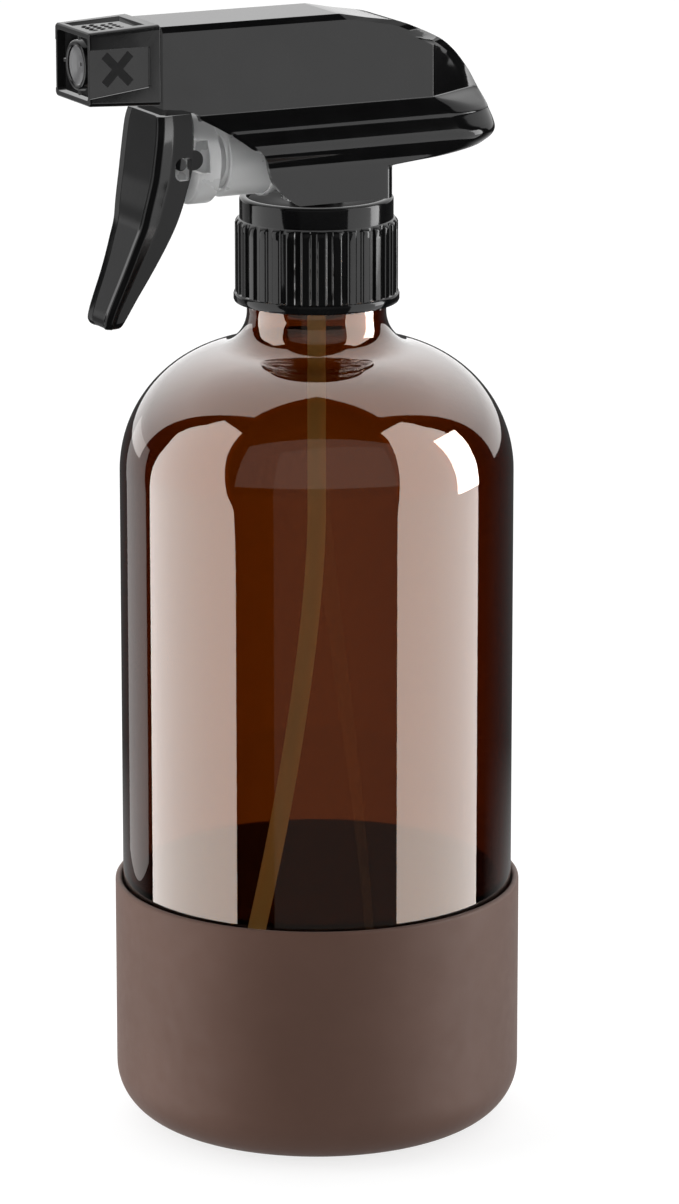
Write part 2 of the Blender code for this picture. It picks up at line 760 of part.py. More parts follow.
def build_nozzle():
    middle = SPRAY_HEIGHT
    rear_low, rear_high, wide_rear = middle - 7.4 * MM, middle + 7.6 * MM, 8.1 * MM
    front_low, front_high, wide_front = middle - 6.7 * MM, middle + 6.9 * MM, 7.9 * MM
    cap = loft(
        "nozzle_cap",
        [
            nozzle_ring(wide_rear, rear_low, rear_high, NOZZLE_BACK, 0.9 * MM),
            nozzle_ring(wide_front, front_low, front_high, NOZZLE_FRONT, 0.9 * MM),
        ],
        BLACK,
    )
    floor = 38.8 * MM
    inner, rim = 1.9 * MM, 1.0 * MM
    hollow = loft(
        "nozzle_hollow",
        [
            nozzle_ring(wide_rear - inner, rear_low + inner, rear_high - inner, floor, 0.6 * MM),
            nozzle_ring(wide_front - rim, front_low + rim, front_high - rim, NOZZLE_FRONT + 1.0 * MM, 0.6 * MM),
        ],
        cutter=True,
    )
    boolean(cap, hollow)
    at = (0.0, 0.0, middle)
    ring = turned(
        "nozzle_ring",
        [
            (3.4 * MM, NOZZLE_FRONT - 0.6 * MM),
            (4.6 * MM, NOZZLE_FRONT - 0.6 * MM),
            (5.6 * MM, floor - 1.0 * MM),
            (3.4 * MM, floor - 1.0 * MM),
        ],
        steps=32,
        cutter=True,
        along_x=True,
        at=at,
    )
    boolean(cap, ring, "UNION")
    # Four thin ribs tie the ring to the walls.
    for name, half_y, half_z in (("nozzle_rib_flat", 7.4 * MM, 0.35 * MM), ("nozzle_rib_upright", 0.35 * MM, 6.3 * MM)):
        rib = box(
            name,
            (floor - 0.5 * MM, -half_y, middle - half_z),
            (NOZZLE_FRONT - 1.4 * MM, half_y, middle + half_z),
            cutter=True,
        )
        boolean(cap, rib, "UNION")
    socket = turned(
        "nozzle_socket",
        [
            (0.0, NOZZLE_FRONT + 1.0 * MM),
            (3.4 * MM, NOZZLE_FRONT + 1.0 * MM),
            (3.4 * MM, 47.4 * MM),
            (4.2 * MM, 47.3 * MM),
            (4.2 * MM, NOZZLE_BACK - 1.0 * MM),
            (0.0, NOZZLE_BACK - 1.0 * MM),
        ],
        steps=32,
        cutter=True,
        along_x=True,
        at=at,
    )
    boolean(cap, socket)
    recess = 0.5 * MM
    for i in range(4):
        reach = 7.0 * MM if i % 2 else 7.7 * MM
        panel = box(
            f"nozzle_panel_{i}",
            (NOZZLE_BACK + 2.0 * MM, -5.3 * MM, reach - recess / 2),
            (NOZZLE_FRONT + 1.0 * MM, 5.3 * MM, reach + 3.0 * MM),
            cutter=True,
        )
        panel.data.transform(Matrix.Rotation(math.radians(90.0 * (i + 1)), 4, "X"))
        panel.location = at
        boolean(cap, panel)
    smooth(cap, 30.0)
    return cap


def build_orifice_disc():
    at = (0.0, 0.0, SPRAY_HEIGHT)
    profile = [
        (0.4 * MM, 47.0 * MM),
        (3.9 * MM, 47.0 * MM),
        (3.9 * MM, 46.0 * MM),
        (0.4 * MM, 46.0 * MM),
    ]
    return turned("orifice_disc", profile, GREY, steps=32, along_x=True, at=at)


# ---------------------------------------------------------------- shroud


def plan_ring(half_width, rear, end_length, front, height, end_steps=9, side_steps=3):
    """A plan outline at one height: straight sides, a square front and an elliptical rear end."""
    start = rear + end_length
    near = [(front + (start - front) * i / side_steps, half_width, height) for i in range(side_steps)]
    end = []
    for i in range(end_steps + 1):
        angle = math.pi / 2 + math.pi * i / end_steps
        end.append((start + end_length * math.cos(angle), half_width * math.sin(angle), height))
    far = [(x, -y, z) for x, y, z in reversed(near)]
    return near + end + far


def shroud_levels():
    """(height, half width, rear end, length of the rounded end), from the neck up to the crown, in mm."""
    neck = [(180.8, 11.0, -13.1, 4.0), (185.6, 11.0, -13.1, 4.0), (187.0, 11.2, -15.5, 6.0)]
    lip = [(187.8, 11.8, -27.0, 11.0), (188.8, 12.3, -32.6, 13.0), (190.4, 12.6, -35.1, 14.0)]
    flank = [(192.2, 12.5, -36.2, 14.0), (194.4, 11.4, -35.8, 14.0), (196.4, 9.6, -34.8, 13.0)]
    wall = [(198.2, 8.4, -33.9, 12.0), (200.0, 8.0, -33.0, 11.0), (203.0, 8.0, -31.1, 10.0)]
    upper = [(206.0, 8.0, -28.4, 9.0), (209.0, 7.95, -24.7, 8.0), (211.5, 7.9, -20.5, 7.0)]
    crown = [(213.4, 7.9, -16.0, 6.0), (214.7, 7.75, -11.2, 5.0), (215.3, 7.4, -7.4, 4.0), (215.7, 6.9, -3.4, 3.0)]
    return [tuple(value * MM for value in row) for row in neck + lip + flank + wall + upper + crown]


def shroud_rings(inset, front):
    rings = []
    for height, half, rear, end in shroud_levels():
        if height > SHROUD_TOP - inset:
            continue
        rings.append(plan_ring(half - inset, rear + inset, max(end - inset, 0.5 * MM), front, height))
    return rings


def build_shroud():
    shroud = loft("shroud", shroud_rings(0.0, SHROUD_FRONT), BLACK)
    inner_rings = shroud_rings(SHROUD_WALL, SHROUD_FRONT - SHROUD_WALL)
    low = [(x, y, z - 1.0 * MM) for x, y, z in inner_rings[0]]
    # Inside, the overhang's floor keeps a wall's thickness too.
    inner_rings[2:5] = [[(x, y, z + SHROUD_WALL * 0.7) for x, y, z in ring] for ring in inner_rings[2:5]]
    hollow = loft("shroud_hollow", [low] + inner_rings, cutter=True)
    boolean(shroud, hollow)
    # The open front: everything ahead of a sweeping curve from the nozzle's foot down to the closure.
    sweep = [
        (36.5 * MM, 200.5 * MM),
        (33.0 * MM, 200.4 * MM),
        (30.2 * MM, 199.8 * MM),
        (27.0 * MM, 198.4 * MM),
        (23.6 * MM, 196.5 * MM),
        (20.6 * MM, 194.5 * MM),
        (17.8 * MM, 192.1 * MM),
        (15.9 * MM, 189.8 * MM),
        (14.9 * MM, 187.4 * MM),
        (14.2 * MM, 185.6 * MM),
        (12.6 * MM, 183.6 * MM),
        (9.8 * MM, 181.4 * MM),
        (6.8 * MM, 179.5 * MM),
        (36.5 * MM, 179.5 * MM),
    ]
    mouth = side_outline("shroud_mouth", sweep, 20.0 * MM, cutter=True)
    boolean(shroud, mouth)
    tip_hole = rod(
        "shroud_tip_hole",
        4.3 * MM,
        (SHROUD_FRONT - 3.0 * MM, 0.0, SPRAY_HEIGHT),
        (SHROUD_FRONT + 1.0 * MM, 0.0, SPRAY_HEIGHT),
        cutter=True,
    )
    boolean(shroud, tip_hole)
    smooth(shroud, 40.0)
    return shroud


# ---------------------------------------------------------------- trigger


def trigger_stations():
    """(height, front x, rear x, half width at the front, half width at the rear), tip first, in mm."""
    return [
        (159.2, 45.0, 42.6, 4.0, 3.4),
        (160.6, 45.6, 41.6, 4.9, 4.0),
        (164.2, 44.4, 39.3, 5.2, 4.2),
        (171.6, 41.5, 34.8, 6.0, 4.8),
        (178.2, 39.2, 31.5, 7.0, 5.5),
        (184.4, 37.5, 29.6, 8.0, 6.1),
        (189.4, 36.4, 28.5, 8.4, 6.4),
        (194.0, 35.6, 28.3, 8.4, 6.4),
        (197.0, 35.2, 28.3, 8.1, 6.4),
        (199.0, 34.9, 28.7, 7.4, 6.4),
    ]


def trigger_ring(height, front, rear, front_half, rear_half, inset=0.0):
    """A section of the lever: a broad rounded front and sides that lean in towards the rear."""
    middle_half = rear_half + 0.3 * (front_half - rear_half)
    near_side = [
        (rear, rear_half - inset),
        (front - 0.45 * (front - rear), middle_half - inset),
        (front - 0.9 - inset, front_half - inset),
        (front - 0.2 - inset, front_half - 0.2 - inset),
        (front - inset, front_half - 0.9 - inset),
    ]
    ring = near_side + [(front + 0.15 - inset, 0.0)] + [(x, -y) for x, y in reversed(near_side)]
    return [(x * MM, y * MM, height * MM) for x, y in ring]


def build_trigger():
    stations = trigger_stations()
    trigger = loft("trigger", [trigger_ring(*row) for row in stations], BLACK)
    wall = 1.3
    channel_rows = [(h, f, r - 3.0, a, b) for h, f, r, a, b in stations[2:]]
    top = channel_rows[-1]
    channel_rows.append((top[0] + 2.0, *top[1:]))
    channel = loft("trigger_channel", [trigger_ring(*row, inset=wall) for row in channel_rows], cutter=True)
    boolean(trigger, channel)
    # Two arms rise inside the shroud, either side of the spray tube, and turn on the body's trunnions.
    # An ear on each side reaches round the piston's cross pin.
    inner, outer = 4.6 * MM, FRAME_HALF + 0.1 * MM
    for side, sign in (("near", 1.0), ("far", -1.0)):
        foot = [(34.4 * MM, 197.0 * MM), (33.7 * MM, 201.0 * MM)]
        head = arc((PIVOT.x, PIVOT.z), ARM_RADIUS, 0.0, 180.0, 6)
        heel = [(29.2 * MM, 201.0 * MM), (28.6 * MM, 197.0 * MM)]
        ear = arc((EAR_REAR + EAR_RADIUS, EAR_HEIGHT), EAR_RADIUS, 90.0, 270.0, 6)
        root = [(31.0 * MM, EAR_HEIGHT - EAR_RADIUS), (31.0 * MM, EAR_HEIGHT + EAR_RADIUS)]
        for kind, outline in (("arm", foot + head + heel), ("ear", ear + root)):
            piece = side_outline(f"trigger_{kind}_{side}", outline, (outer - inner) / 2, cutter=True)
            piece.location = (0.0, sign * (outer + inner) / 2, 0.0)
            boolean(trigger, piece, "UNION")
    eye = rod(
        "trigger_eye",
        PIVOT_PIN + GAP,
        PIVOT - Vector((0.0, 9.0 * MM, 0.0)),
        PIVOT + Vector((0.0, 9.0 * MM, 0.0)),
        cutter=True,
        segments=16,
    )
    boolean(trigger, eye)
    # The cross pin also rides up and down in a slot as the lever swings.
    reach = PISTON_PIN + GAP
    slot = box(
        "trigger_slot",
        (PISTON_PIN_X - reach, -12.0 * MM, CYLINDER_HEIGHT - reach - 1.3 * MM),
        (PISTON_PIN_X + reach + 0.5 * MM, 12.0 * MM, CYLINDER_HEIGHT + reach),
        cutter=True,
    )
    boolean(trigger, slot)
    smooth(trigger, 40.0)
    place_origin(trigger, PIVOT)
    return trigger


build_boot()
build_bottle()
build_closure()
build_gasket()
build_insert()
build_dip_tube()
build_inlet_ball()
build_ball_retainer()
build_pump_body()
build_piston()
build_piston_ring("piston_seal", PISTON_REAR + 1.2 * MM)
build_piston_ring("vent_seal", PISTON_REAR + 3.8 * MM)
coil("piston_spring", 3.1 * MM, 0.35 * MM, SPRING_REAR, SPRING_FRONT, 6.0, CYLINDER_HEIGHT)
build_outlet_valve()
coil("outlet_spring", 1.5 * MM, 0.2 * MM, 36.5 * MM, 40.3 * MM, 4.0, SPRAY_HEIGHT, segments=10)
build_swirl_plug()
build_nozzle()
build_orifice_disc()
build_shroud()
build_trigger()
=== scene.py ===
import json
import math

import bmesh
import bpy
import numpy as np
from mathutils import Matrix, Vector

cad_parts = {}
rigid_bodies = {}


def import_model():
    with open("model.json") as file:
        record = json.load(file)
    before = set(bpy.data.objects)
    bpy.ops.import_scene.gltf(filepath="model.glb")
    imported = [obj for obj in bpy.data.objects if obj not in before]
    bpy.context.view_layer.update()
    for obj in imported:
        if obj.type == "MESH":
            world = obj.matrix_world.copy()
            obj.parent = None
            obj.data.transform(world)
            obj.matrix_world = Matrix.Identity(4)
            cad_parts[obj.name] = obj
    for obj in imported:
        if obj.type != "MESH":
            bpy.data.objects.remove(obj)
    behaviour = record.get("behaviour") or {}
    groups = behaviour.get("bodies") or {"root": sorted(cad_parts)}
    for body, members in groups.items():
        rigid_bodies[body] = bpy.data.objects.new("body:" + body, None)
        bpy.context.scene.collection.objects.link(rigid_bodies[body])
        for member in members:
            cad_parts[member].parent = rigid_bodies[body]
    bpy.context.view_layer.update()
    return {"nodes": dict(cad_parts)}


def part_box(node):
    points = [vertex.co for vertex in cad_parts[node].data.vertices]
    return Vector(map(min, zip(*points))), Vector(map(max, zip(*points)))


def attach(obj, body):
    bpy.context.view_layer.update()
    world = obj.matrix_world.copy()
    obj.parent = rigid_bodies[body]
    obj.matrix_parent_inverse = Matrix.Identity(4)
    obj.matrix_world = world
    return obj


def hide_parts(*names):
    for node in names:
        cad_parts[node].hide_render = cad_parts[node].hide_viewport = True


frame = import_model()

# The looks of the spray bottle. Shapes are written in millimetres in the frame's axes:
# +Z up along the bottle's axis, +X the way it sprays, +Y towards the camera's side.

MM = 0.001


def low(node):
    return np.array(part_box(node)[0]) / MM


def high(node):
    return np.array(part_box(node)[1]) / MM


# Driving sizes, read from the frame
BOOT_RADIUS, BOOT_HEIGHT = high("silicone_boot")[0], high("silicone_boot")[2]
GLASS_BASE, LIP_TOP = low("glass_bottle")[2], high("glass_bottle")[2]
BODY_RADIUS = high("glass_bottle")[0]
CLOSURE_BOTTOM, CLOSURE_TOP = low("screw_closure")[2], high("screw_closure")[2]
CLOSURE_FLANGE = high("screw_closure")[0]
SPRAY_HEIGHT = (low("orifice_disc")[2] + high("orifice_disc")[2]) / 2
CYLINDER_HEIGHT = (low("piston_seal")[2] + high("piston_seal")[2]) / 2
NOZZLE_BACK, NOZZLE_FRONT = low("nozzle_cap")[0], high("nozzle_cap")[0]
SHROUD_FRONT, SHROUD_TOP = high("shroud")[0], high("shroud")[2]
GASKET_BOTTOM, GASKET_TOP = low("neck_gasket")[2], high("neck_gasket")[2]
CUP_RADIUS = high("piston")[2] - CYLINDER_HEIGHT
CUP_FRONT = 28.0
PIVOT = (31.4, 205.4)  # of the trigger, as (x, z)


# ---- shape helpers


def rounded(corners, steps=4, closed=True):
    """An outline of (x, y, radius) corners, each turned into an arc. An open outline keeps its two ends."""
    outline = []
    count = len(corners)
    for i, (x, y, radius) in enumerate(corners):
        point = np.array((x, y), float)
        if radius == 0 or (not closed and i in (0, count - 1)):
            outline.append((x, y))
            continue
        before = np.array(corners[i - 1][:2], float) - point
        after = np.array(corners[(i + 1) % count][:2], float) - point
        room = min(np.linalg.norm(before), np.linalg.norm(after)) * 0.5
        before /= np.linalg.norm(before)
        after /= np.linalg.norm(after)
        if np.linalg.norm(before + after) < 1e-3:
            outline.extend([(x, y)] * (steps + 1))
            continue
        half = math.acos(max(-1.0, min(1.0, float(before @ after)))) / 2
        reach = min(radius / math.tan(half), room)
        bisector = (before + after) / np.linalg.norm(before + after)
        centre = point + bisector * reach / math.cos(half)
        start = point + before * reach - centre
        end = point + after * reach - centre
        first = math.atan2(start[1], start[0])
        sweep = math.atan2(end[1], end[0]) - first
        sweep = (sweep + math.pi) % math.tau - math.pi
        size = np.linalg.norm(start)
        for step in range(steps + 1):
            angle = first + sweep * step / steps
            outline.append((centre[0] + size * math.cos(angle), centre[1] + size * math.sin(angle)))
    return outline


def arc(centre, radius, start_deg, end_deg, steps):
    angles = [math.radians(start_deg + (end_deg - start_deg) * i / steps) for i in range(steps + 1)]
    return [(centre[0] + radius * math.cos(a), centre[1] + radius * math.sin(a)) for a in angles]


def through(rows, steps):
    """Catmull-Rom rows through the given rows of numbers."""
    rows = [np.array(row, float) for row in rows]
    found = []
    for i in range(len(rows) - 1):
        a, b, c, d = rows[max(i - 1, 0)], rows[i], rows[i + 1], rows[min(i + 2, len(rows) - 1)]
        for step in range(steps):
            t = step / steps
            bend = (2 * a - 5 * b + 4 * c - d) * t * t + (3 * b - a - 3 * c + d) * t**3
            found.append((2 * b + (c - a) * t + bend) / 2)
    return found + [rows[-1]]


def new_object(name, points, faces, material, smooth_angle=35.0):
    mesh = bpy.data.meshes.new(name)
    mesh.from_pydata([tuple(float(v) * MM for v in point) for point in points], [], faces)
    bm = bmesh.new()
    bm.from_mesh(mesh)
    bmesh.ops.remove_doubles(bm, verts=bm.verts, dist=0.001 * MM)
    bmesh.ops.recalc_face_normals(bm, faces=bm.faces)
    bm.to_mesh(mesh)
    bm.free()
    obj = bpy.data.objects.new(name, mesh)
    bpy.context.scene.collection.objects.link(obj)
    if material:
        mesh.materials.append(material)
    shade(obj, smooth_angle)
    return obj


def shade(obj, angle=35.0):
    obj.data.shade_smooth()
    obj.data.set_sharp_from_angle(angle=math.radians(angle))


def skin(name, rings, material, caps=True, smooth_angle=35.0, around=True):
    """Joins rings of equal point counts, with a flat cap at each end."""
    count = len(rings[0])
    points = [point for ring in rings for point in ring]
    faces = []
    for row in range(len(rings) - 1):
        for i in range(count if around else count - 1):
            j = (i + 1) % count
            a, b = row * count, (row + 1) * count
            faces.append((a + i, a + j, b + j, b + i))
    if caps:
        faces.append(tuple(range(count))[::-1])
        faces.append(tuple((len(rings) - 1) * count + i for i in range(count)))
    return new_object(name, points, faces, material, smooth_angle)


def lathe(name, outline, material, steps=96, along_x=False, height=0.0, closed=True, smooth_angle=35.0):
    """Turns an outline of (radius, distance along the axis) about Z, or about X at a height."""
    columns = []
    for i in range(steps):
        angle = math.tau * i / steps
        c, s = math.cos(angle), math.sin(angle)
        if along_x:
            columns.append([(along, r * c, height + r * s) for r, along in outline])
        else:
            columns.append([(r * c, r * s, along) for r, along in outline])
    return skin(name, columns + columns[:1], material, caps=False, smooth_angle=smooth_angle, around=closed)


def bore_outline(radius, start, end):
    return [(0.0, start), (radius, start), (radius, end), (0.0, end)]


def spun(name, outline, material, height, steps=72, closed=True):
    """A piece turned about a line along X, at a height."""
    return lathe(name, outline, material, steps=steps, along_x=True, height=height, closed=closed)


def prism(name, outline, low_y, high_y, material=None):
    """An outline of (x, z) points, extruded along Y."""
    return skin(name, [[(x, y, z) for x, z in outline] for y in (low_y, high_y)], material)


def cuboid(name, corner, opposite, material=None):
    outline = [(corner[0], corner[2]), (opposite[0], corner[2]), (opposite[0], opposite[2]),
               (corner[0], opposite[2])]
    return prism(name, outline, corner[1], opposite[1], material)


def bevel(obj, width, segments=2, angle=40.0):
    """Rounds the sharp edges, and keeps flat faces looking flat beside them."""
    step = obj.modifiers.new("soft_edges", "BEVEL")
    step.width = width * MM
    step.segments = segments
    step.limit_method = "ANGLE"
    step.angle_limit = math.radians(angle)
    settle(obj)
    obj.data.shade_smooth()
    even = obj.modifiers.new("flat_faces", "WEIGHTED_NORMAL")
    even.mode = "FACE_AREA"
    even.weight = 100
    settle(obj)
    return obj


def settle(obj):
    """Applies an object's modifiers to its mesh."""
    graph = bpy.context.evaluated_depsgraph_get()
    mesh = bpy.data.meshes.new_from_object(obj.evaluated_get(graph), depsgraph=graph)
    obj.modifiers.clear()
    obj.data = mesh


def cut(obj, *others, operation="DIFFERENCE"):
    """Cuts the other objects from this one, or joins them to it, and removes them."""
    for other in others:
        step = obj.modifiers.new(other.name, "BOOLEAN")
        step.operation = operation
        step.solver = "EXACT"
        step.object = other
        settle(obj)
        bpy.data.objects.remove(other)
    return obj


def join(obj, *others):
    return cut(obj, *others, operation="UNION")


def lay_across(obj, x, z):
    """Turns a piece that stands along Z so that it lies along Y, at a place over the X axis."""
    obj.data.transform(Matrix.Translation(Vector((x, 0.0, z)) * MM) @ Matrix.Rotation(math.pi / 2, 4, "X"))


def place(obj, body, slot, *nodes):
    """Gives a piece its body and hides the CAD nodes that it stands for. Its slot is not used."""
    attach(obj, body)
    if nodes:
        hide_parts(*nodes)
    return obj


# ---- materials


class Recipe:
    """A node material: a Principled shader and short ways to add what feeds it."""

    def __init__(self, name, roughness=0.5, **settings):
        self.material = bpy.data.materials.new(name)
        self.material.use_nodes = True
        self.nodes = self.material.node_tree.nodes
        self.links = self.material.node_tree.links
        self.shader = self.nodes["Principled BSDF"]
        self.shader.inputs["Roughness"].default_value = roughness
        for label, value in settings.items():
            self.shader.inputs[label.replace("_", " ")].default_value = value
        self.place = self.nodes.new("ShaderNodeTexCoord").outputs["Object"]

    def noise(self, scale, detail=3.0, stretch=None):
        texture = self.nodes.new("ShaderNodeTexNoise")
        texture.inputs["Scale"].default_value = scale
        texture.inputs["Detail"].default_value = detail
        if stretch:
            mapping = self.nodes.new("ShaderNodeMapping")
            mapping.inputs["Scale"].default_value = stretch
            self.links.new(self.place, mapping.inputs["Vector"])
            self.links.new(mapping.outputs["Vector"], texture.inputs["Vector"])
        else:
            self.links.new(self.place, texture.inputs["Vector"])
        return texture.outputs["Fac"]

    def colour(self, factor, dark, light):
        ramp = self.nodes.new("ShaderNodeValToRGB")
        ramp.color_ramp.elements[0].position = 0.3
        ramp.color_ramp.elements[0].color = (*dark, 1.0)
        ramp.color_ramp.elements[1].position = 0.7
        ramp.color_ramp.elements[1].color = (*light, 1.0)
        self.links.new(factor, ramp.inputs["Fac"])
        self.links.new(ramp.outputs["Color"], self.shader.inputs["Base Color"])

    def roughness(self, factor, least, most):
        spread = self.nodes.new("ShaderNodeMapRange")
        spread.inputs["From Min"].default_value = 0.3
        spread.inputs["From Max"].default_value = 0.7
        spread.inputs["To Min"].default_value = least
        spread.inputs["To Max"].default_value = most
        self.links.new(factor, spread.inputs["Value"])
        self.links.new(spread.outputs["Result"], self.shader.inputs["Roughness"])

    def bump(self, factor, depth, strength=1.0):
        bump = self.nodes.new("ShaderNodeBump")
        bump.inputs["Distance"].default_value = depth * MM
        bump.inputs["Strength"].default_value = strength
        self.links.new(factor, bump.inputs["Height"])
        self.links.new(bump.outputs["Normal"], self.shader.inputs["Normal"])


def amber_glass():
    """Clear at its surfaces, amber through its thickness, with a faint amber cast in what it reflects."""
    recipe = Recipe("amber_glass", roughness=0.0, Transmission_Weight=1.0, IOR=1.5, Coat_Weight=1.0,
                    Coat_Roughness=0.0, Coat_IOR=1.665, Specular_Tint=(0.78, 0.31, 0.04, 1.0))
    recipe.colour(recipe.noise(18.0, 2.0, (1.0, 1.0, 0.35)), (0.97, 0.96, 0.94), (1.0, 1.0, 1.0))
    recipe.bump(recipe.noise(20.0, 1.0, (1.0, 1.0, 0.2)), 0.0005, 0.1)
    depth = recipe.nodes.new("ShaderNodeVolumeAbsorption")
    depth.inputs["Color"].default_value = (0.718, 0.522, 0.12, 1.0)
    depth.inputs["Density"].default_value = 1900.0
    recipe.links.new(depth.outputs["Volume"], recipe.nodes["Material Output"].inputs["Volume"])
    return recipe.material


def brown_silicone():
    recipe = Recipe("brown_silicone", IOR=1.3, Sheen_Weight=0.1, Sheen_Roughness=0.5)
    recipe.colour(recipe.noise(60.0, 4.0), (0.080, 0.039, 0.026), (0.090, 0.045, 0.031))
    recipe.roughness(recipe.noise(300.0, 3.0), 0.52, 0.62)
    recipe.bump(recipe.noise(2600.0, 2.0), 0.02, 0.35)
    return recipe.material


def black_plastic(name="black_plastic", least=0.06, most=0.11, grain=0.1, index=1.257):
    recipe = Recipe(name, IOR=index)
    recipe.colour(recipe.noise(120.0, 3.0), (0.0035, 0.0035, 0.0036), (0.005, 0.005, 0.0052))
    recipe.roughness(recipe.noise(90.0, 3.0), least, most)
    recipe.bump(recipe.noise(700.0, 2.0), 0.012, grain)
    return recipe.material


def mark_finish():
    recipe = Recipe("matte_mark", IOR=1.15)
    recipe.colour(recipe.noise(900.0, 2.0), (0.010, 0.010, 0.0102), (0.014, 0.014, 0.0142))
    recipe.roughness(recipe.noise(500.0), 0.55, 0.7)
    recipe.bump(recipe.noise(2500.0, 2.0), 0.03, 0.5)
    return recipe.material


def natural_plastic():
    recipe = Recipe("natural_plastic", IOR=1.49, Subsurface_Weight=0.6, Transmission_Weight=0.15,
                    Subsurface_Radius=(0.006, 0.006, 0.006), Subsurface_Scale=1.0)
    recipe.colour(recipe.noise(140.0, 2.0, (0.25, 1.0, 1.0)), (0.37, 0.375, 0.375), (0.54, 0.545, 0.545))
    recipe.roughness(recipe.noise(200.0), 0.25, 0.4)
    recipe.bump(recipe.noise(260.0, 2.0, (0.3, 1.0, 1.0)), 0.05, 0.35)
    return recipe.material


def tubing():
    """Painted glow: it emits a little light of its own, standing in for light piped along the tubing, so that
    it shows through the amber glass.
    """
    recipe = Recipe("clear_tubing", IOR=1.5, Transmission_Weight=0.2, Emission_Strength=1.0,
                    Emission_Color=(0.16, 0.22, 0.40, 1.0))
    recipe.colour(recipe.noise(250.0, 2.0, (1.0, 1.0, 0.08)), (0.72, 0.66, 0.6), (0.85, 0.8, 0.74))
    recipe.roughness(recipe.noise(200.0), 0.3, 0.42)
    recipe.bump(recipe.noise(400.0, 2.0, (1.0, 1.0, 0.05)), 0.02, 0.4)
    return recipe.material


def elastomer():
    recipe = Recipe("white_elastomer", IOR=1.45)
    recipe.colour(recipe.noise(150.0), (0.12, 0.11, 0.10), (0.17, 0.16, 0.15))
    recipe.roughness(recipe.noise(400.0), 0.5, 0.65)
    recipe.bump(recipe.noise(2000.0), 0.02, 0.4)
    return recipe.material


def steel():
    recipe = Recipe("stainless_steel", Metallic=1.0)
    recipe.colour(recipe.noise(900.0, 2.0), (0.52, 0.52, 0.54), (0.66, 0.66, 0.68))
    recipe.roughness(recipe.noise(1500.0, 2.0, (1.0, 0.1, 0.1)), 0.16, 0.3)
    recipe.bump(recipe.noise(3000.0, 2.0, (1.0, 0.1, 0.1)), 0.01, 0.3)
    return recipe.material


def grey_plastic():
    recipe = Recipe("grey_plastic", IOR=1.45)
    recipe.colour(recipe.noise(300.0), (0.042, 0.042, 0.044), (0.055, 0.055, 0.057))
    recipe.roughness(recipe.noise(400.0), 0.3, 0.42)
    recipe.bump(recipe.noise(1800.0), 0.015, 0.4)
    return recipe.material


AMBER = amber_glass()
SILICONE = brown_silicone()
BLACK = black_plastic()
TRIGGER_BLACK = black_plastic("trigger_plastic", 0.08, 0.14, 0.15, 1.165)
MARK = mark_finish()
CORE = black_plastic("core_plastic", 0.3, 0.4, 0.1, 1.05)
NATURAL = natural_plastic()
GLOWING_TUBING = tubing()
ELASTOMER = elastomer()
STEEL = steel()
GREY = grey_plastic()
INSERT = black_plastic("dark_insert", 0.2, 0.3, 0.2)


# ---- bottle and boot

GLASS_WALL = 2.4
GLASS_FLOOR = 4.5
GLASS_HEEL = 9.0
PUNT_RADIUS, PUNT_DEPTH = 26.0, 2.0
SHOULDER_START, SHOULDER_RADIUS = 127.6, 24.6
NECK_RADIUS, NECK_FILLET, BORE_RADIUS = 13.2, 7.0, 9.4
FINISH_RADIUS, FINISH_BOTTOM = 12.5, 161.0
THREAD_PITCH, THREAD_TURNS, THREAD_START = 25.4 / 6, 1.3, 162.4
THREAD_HEIGHT, THREAD_WIDTH = 1.15, 0.95
GAP = 0.3


def shoulder(offset, fillet_steps=14, steps=30):
    shoulder_x = BODY_RADIUS - SHOULDER_RADIUS
    fillet_x = NECK_RADIUS + NECK_FILLET
    rise = math.sqrt((SHOULDER_RADIUS + NECK_FILLET) ** 2 - (fillet_x - shoulder_x) ** 2)
    meet = math.degrees(math.atan2(rise, fillet_x - shoulder_x))
    fillet = arc((fillet_x, SHOULDER_START + rise), NECK_FILLET + offset, 180.0, 180.0 + meet, fillet_steps)
    return fillet + arc((shoulder_x, SHOULDER_START), SHOULDER_RADIUS - offset, meet, 0.0, steps)[1:]


def thread_bulge(angle, height, turns=THREAD_TURNS):
    """How far the helical ridge stands out at an angle and a height."""
    best = 0.0
    for turn in range(3):
        along = angle / math.tau + turn
        if not 0.0 <= along <= turns:
            continue
        fade = min(1.0, 10.0 * min(along, turns - along))
        away = abs(height - THREAD_START - THREAD_PITCH * along) / THREAD_WIDTH
        best = max(best, THREAD_HEIGHT * fade * max(0.0, 1.0 - away**3))
    return best


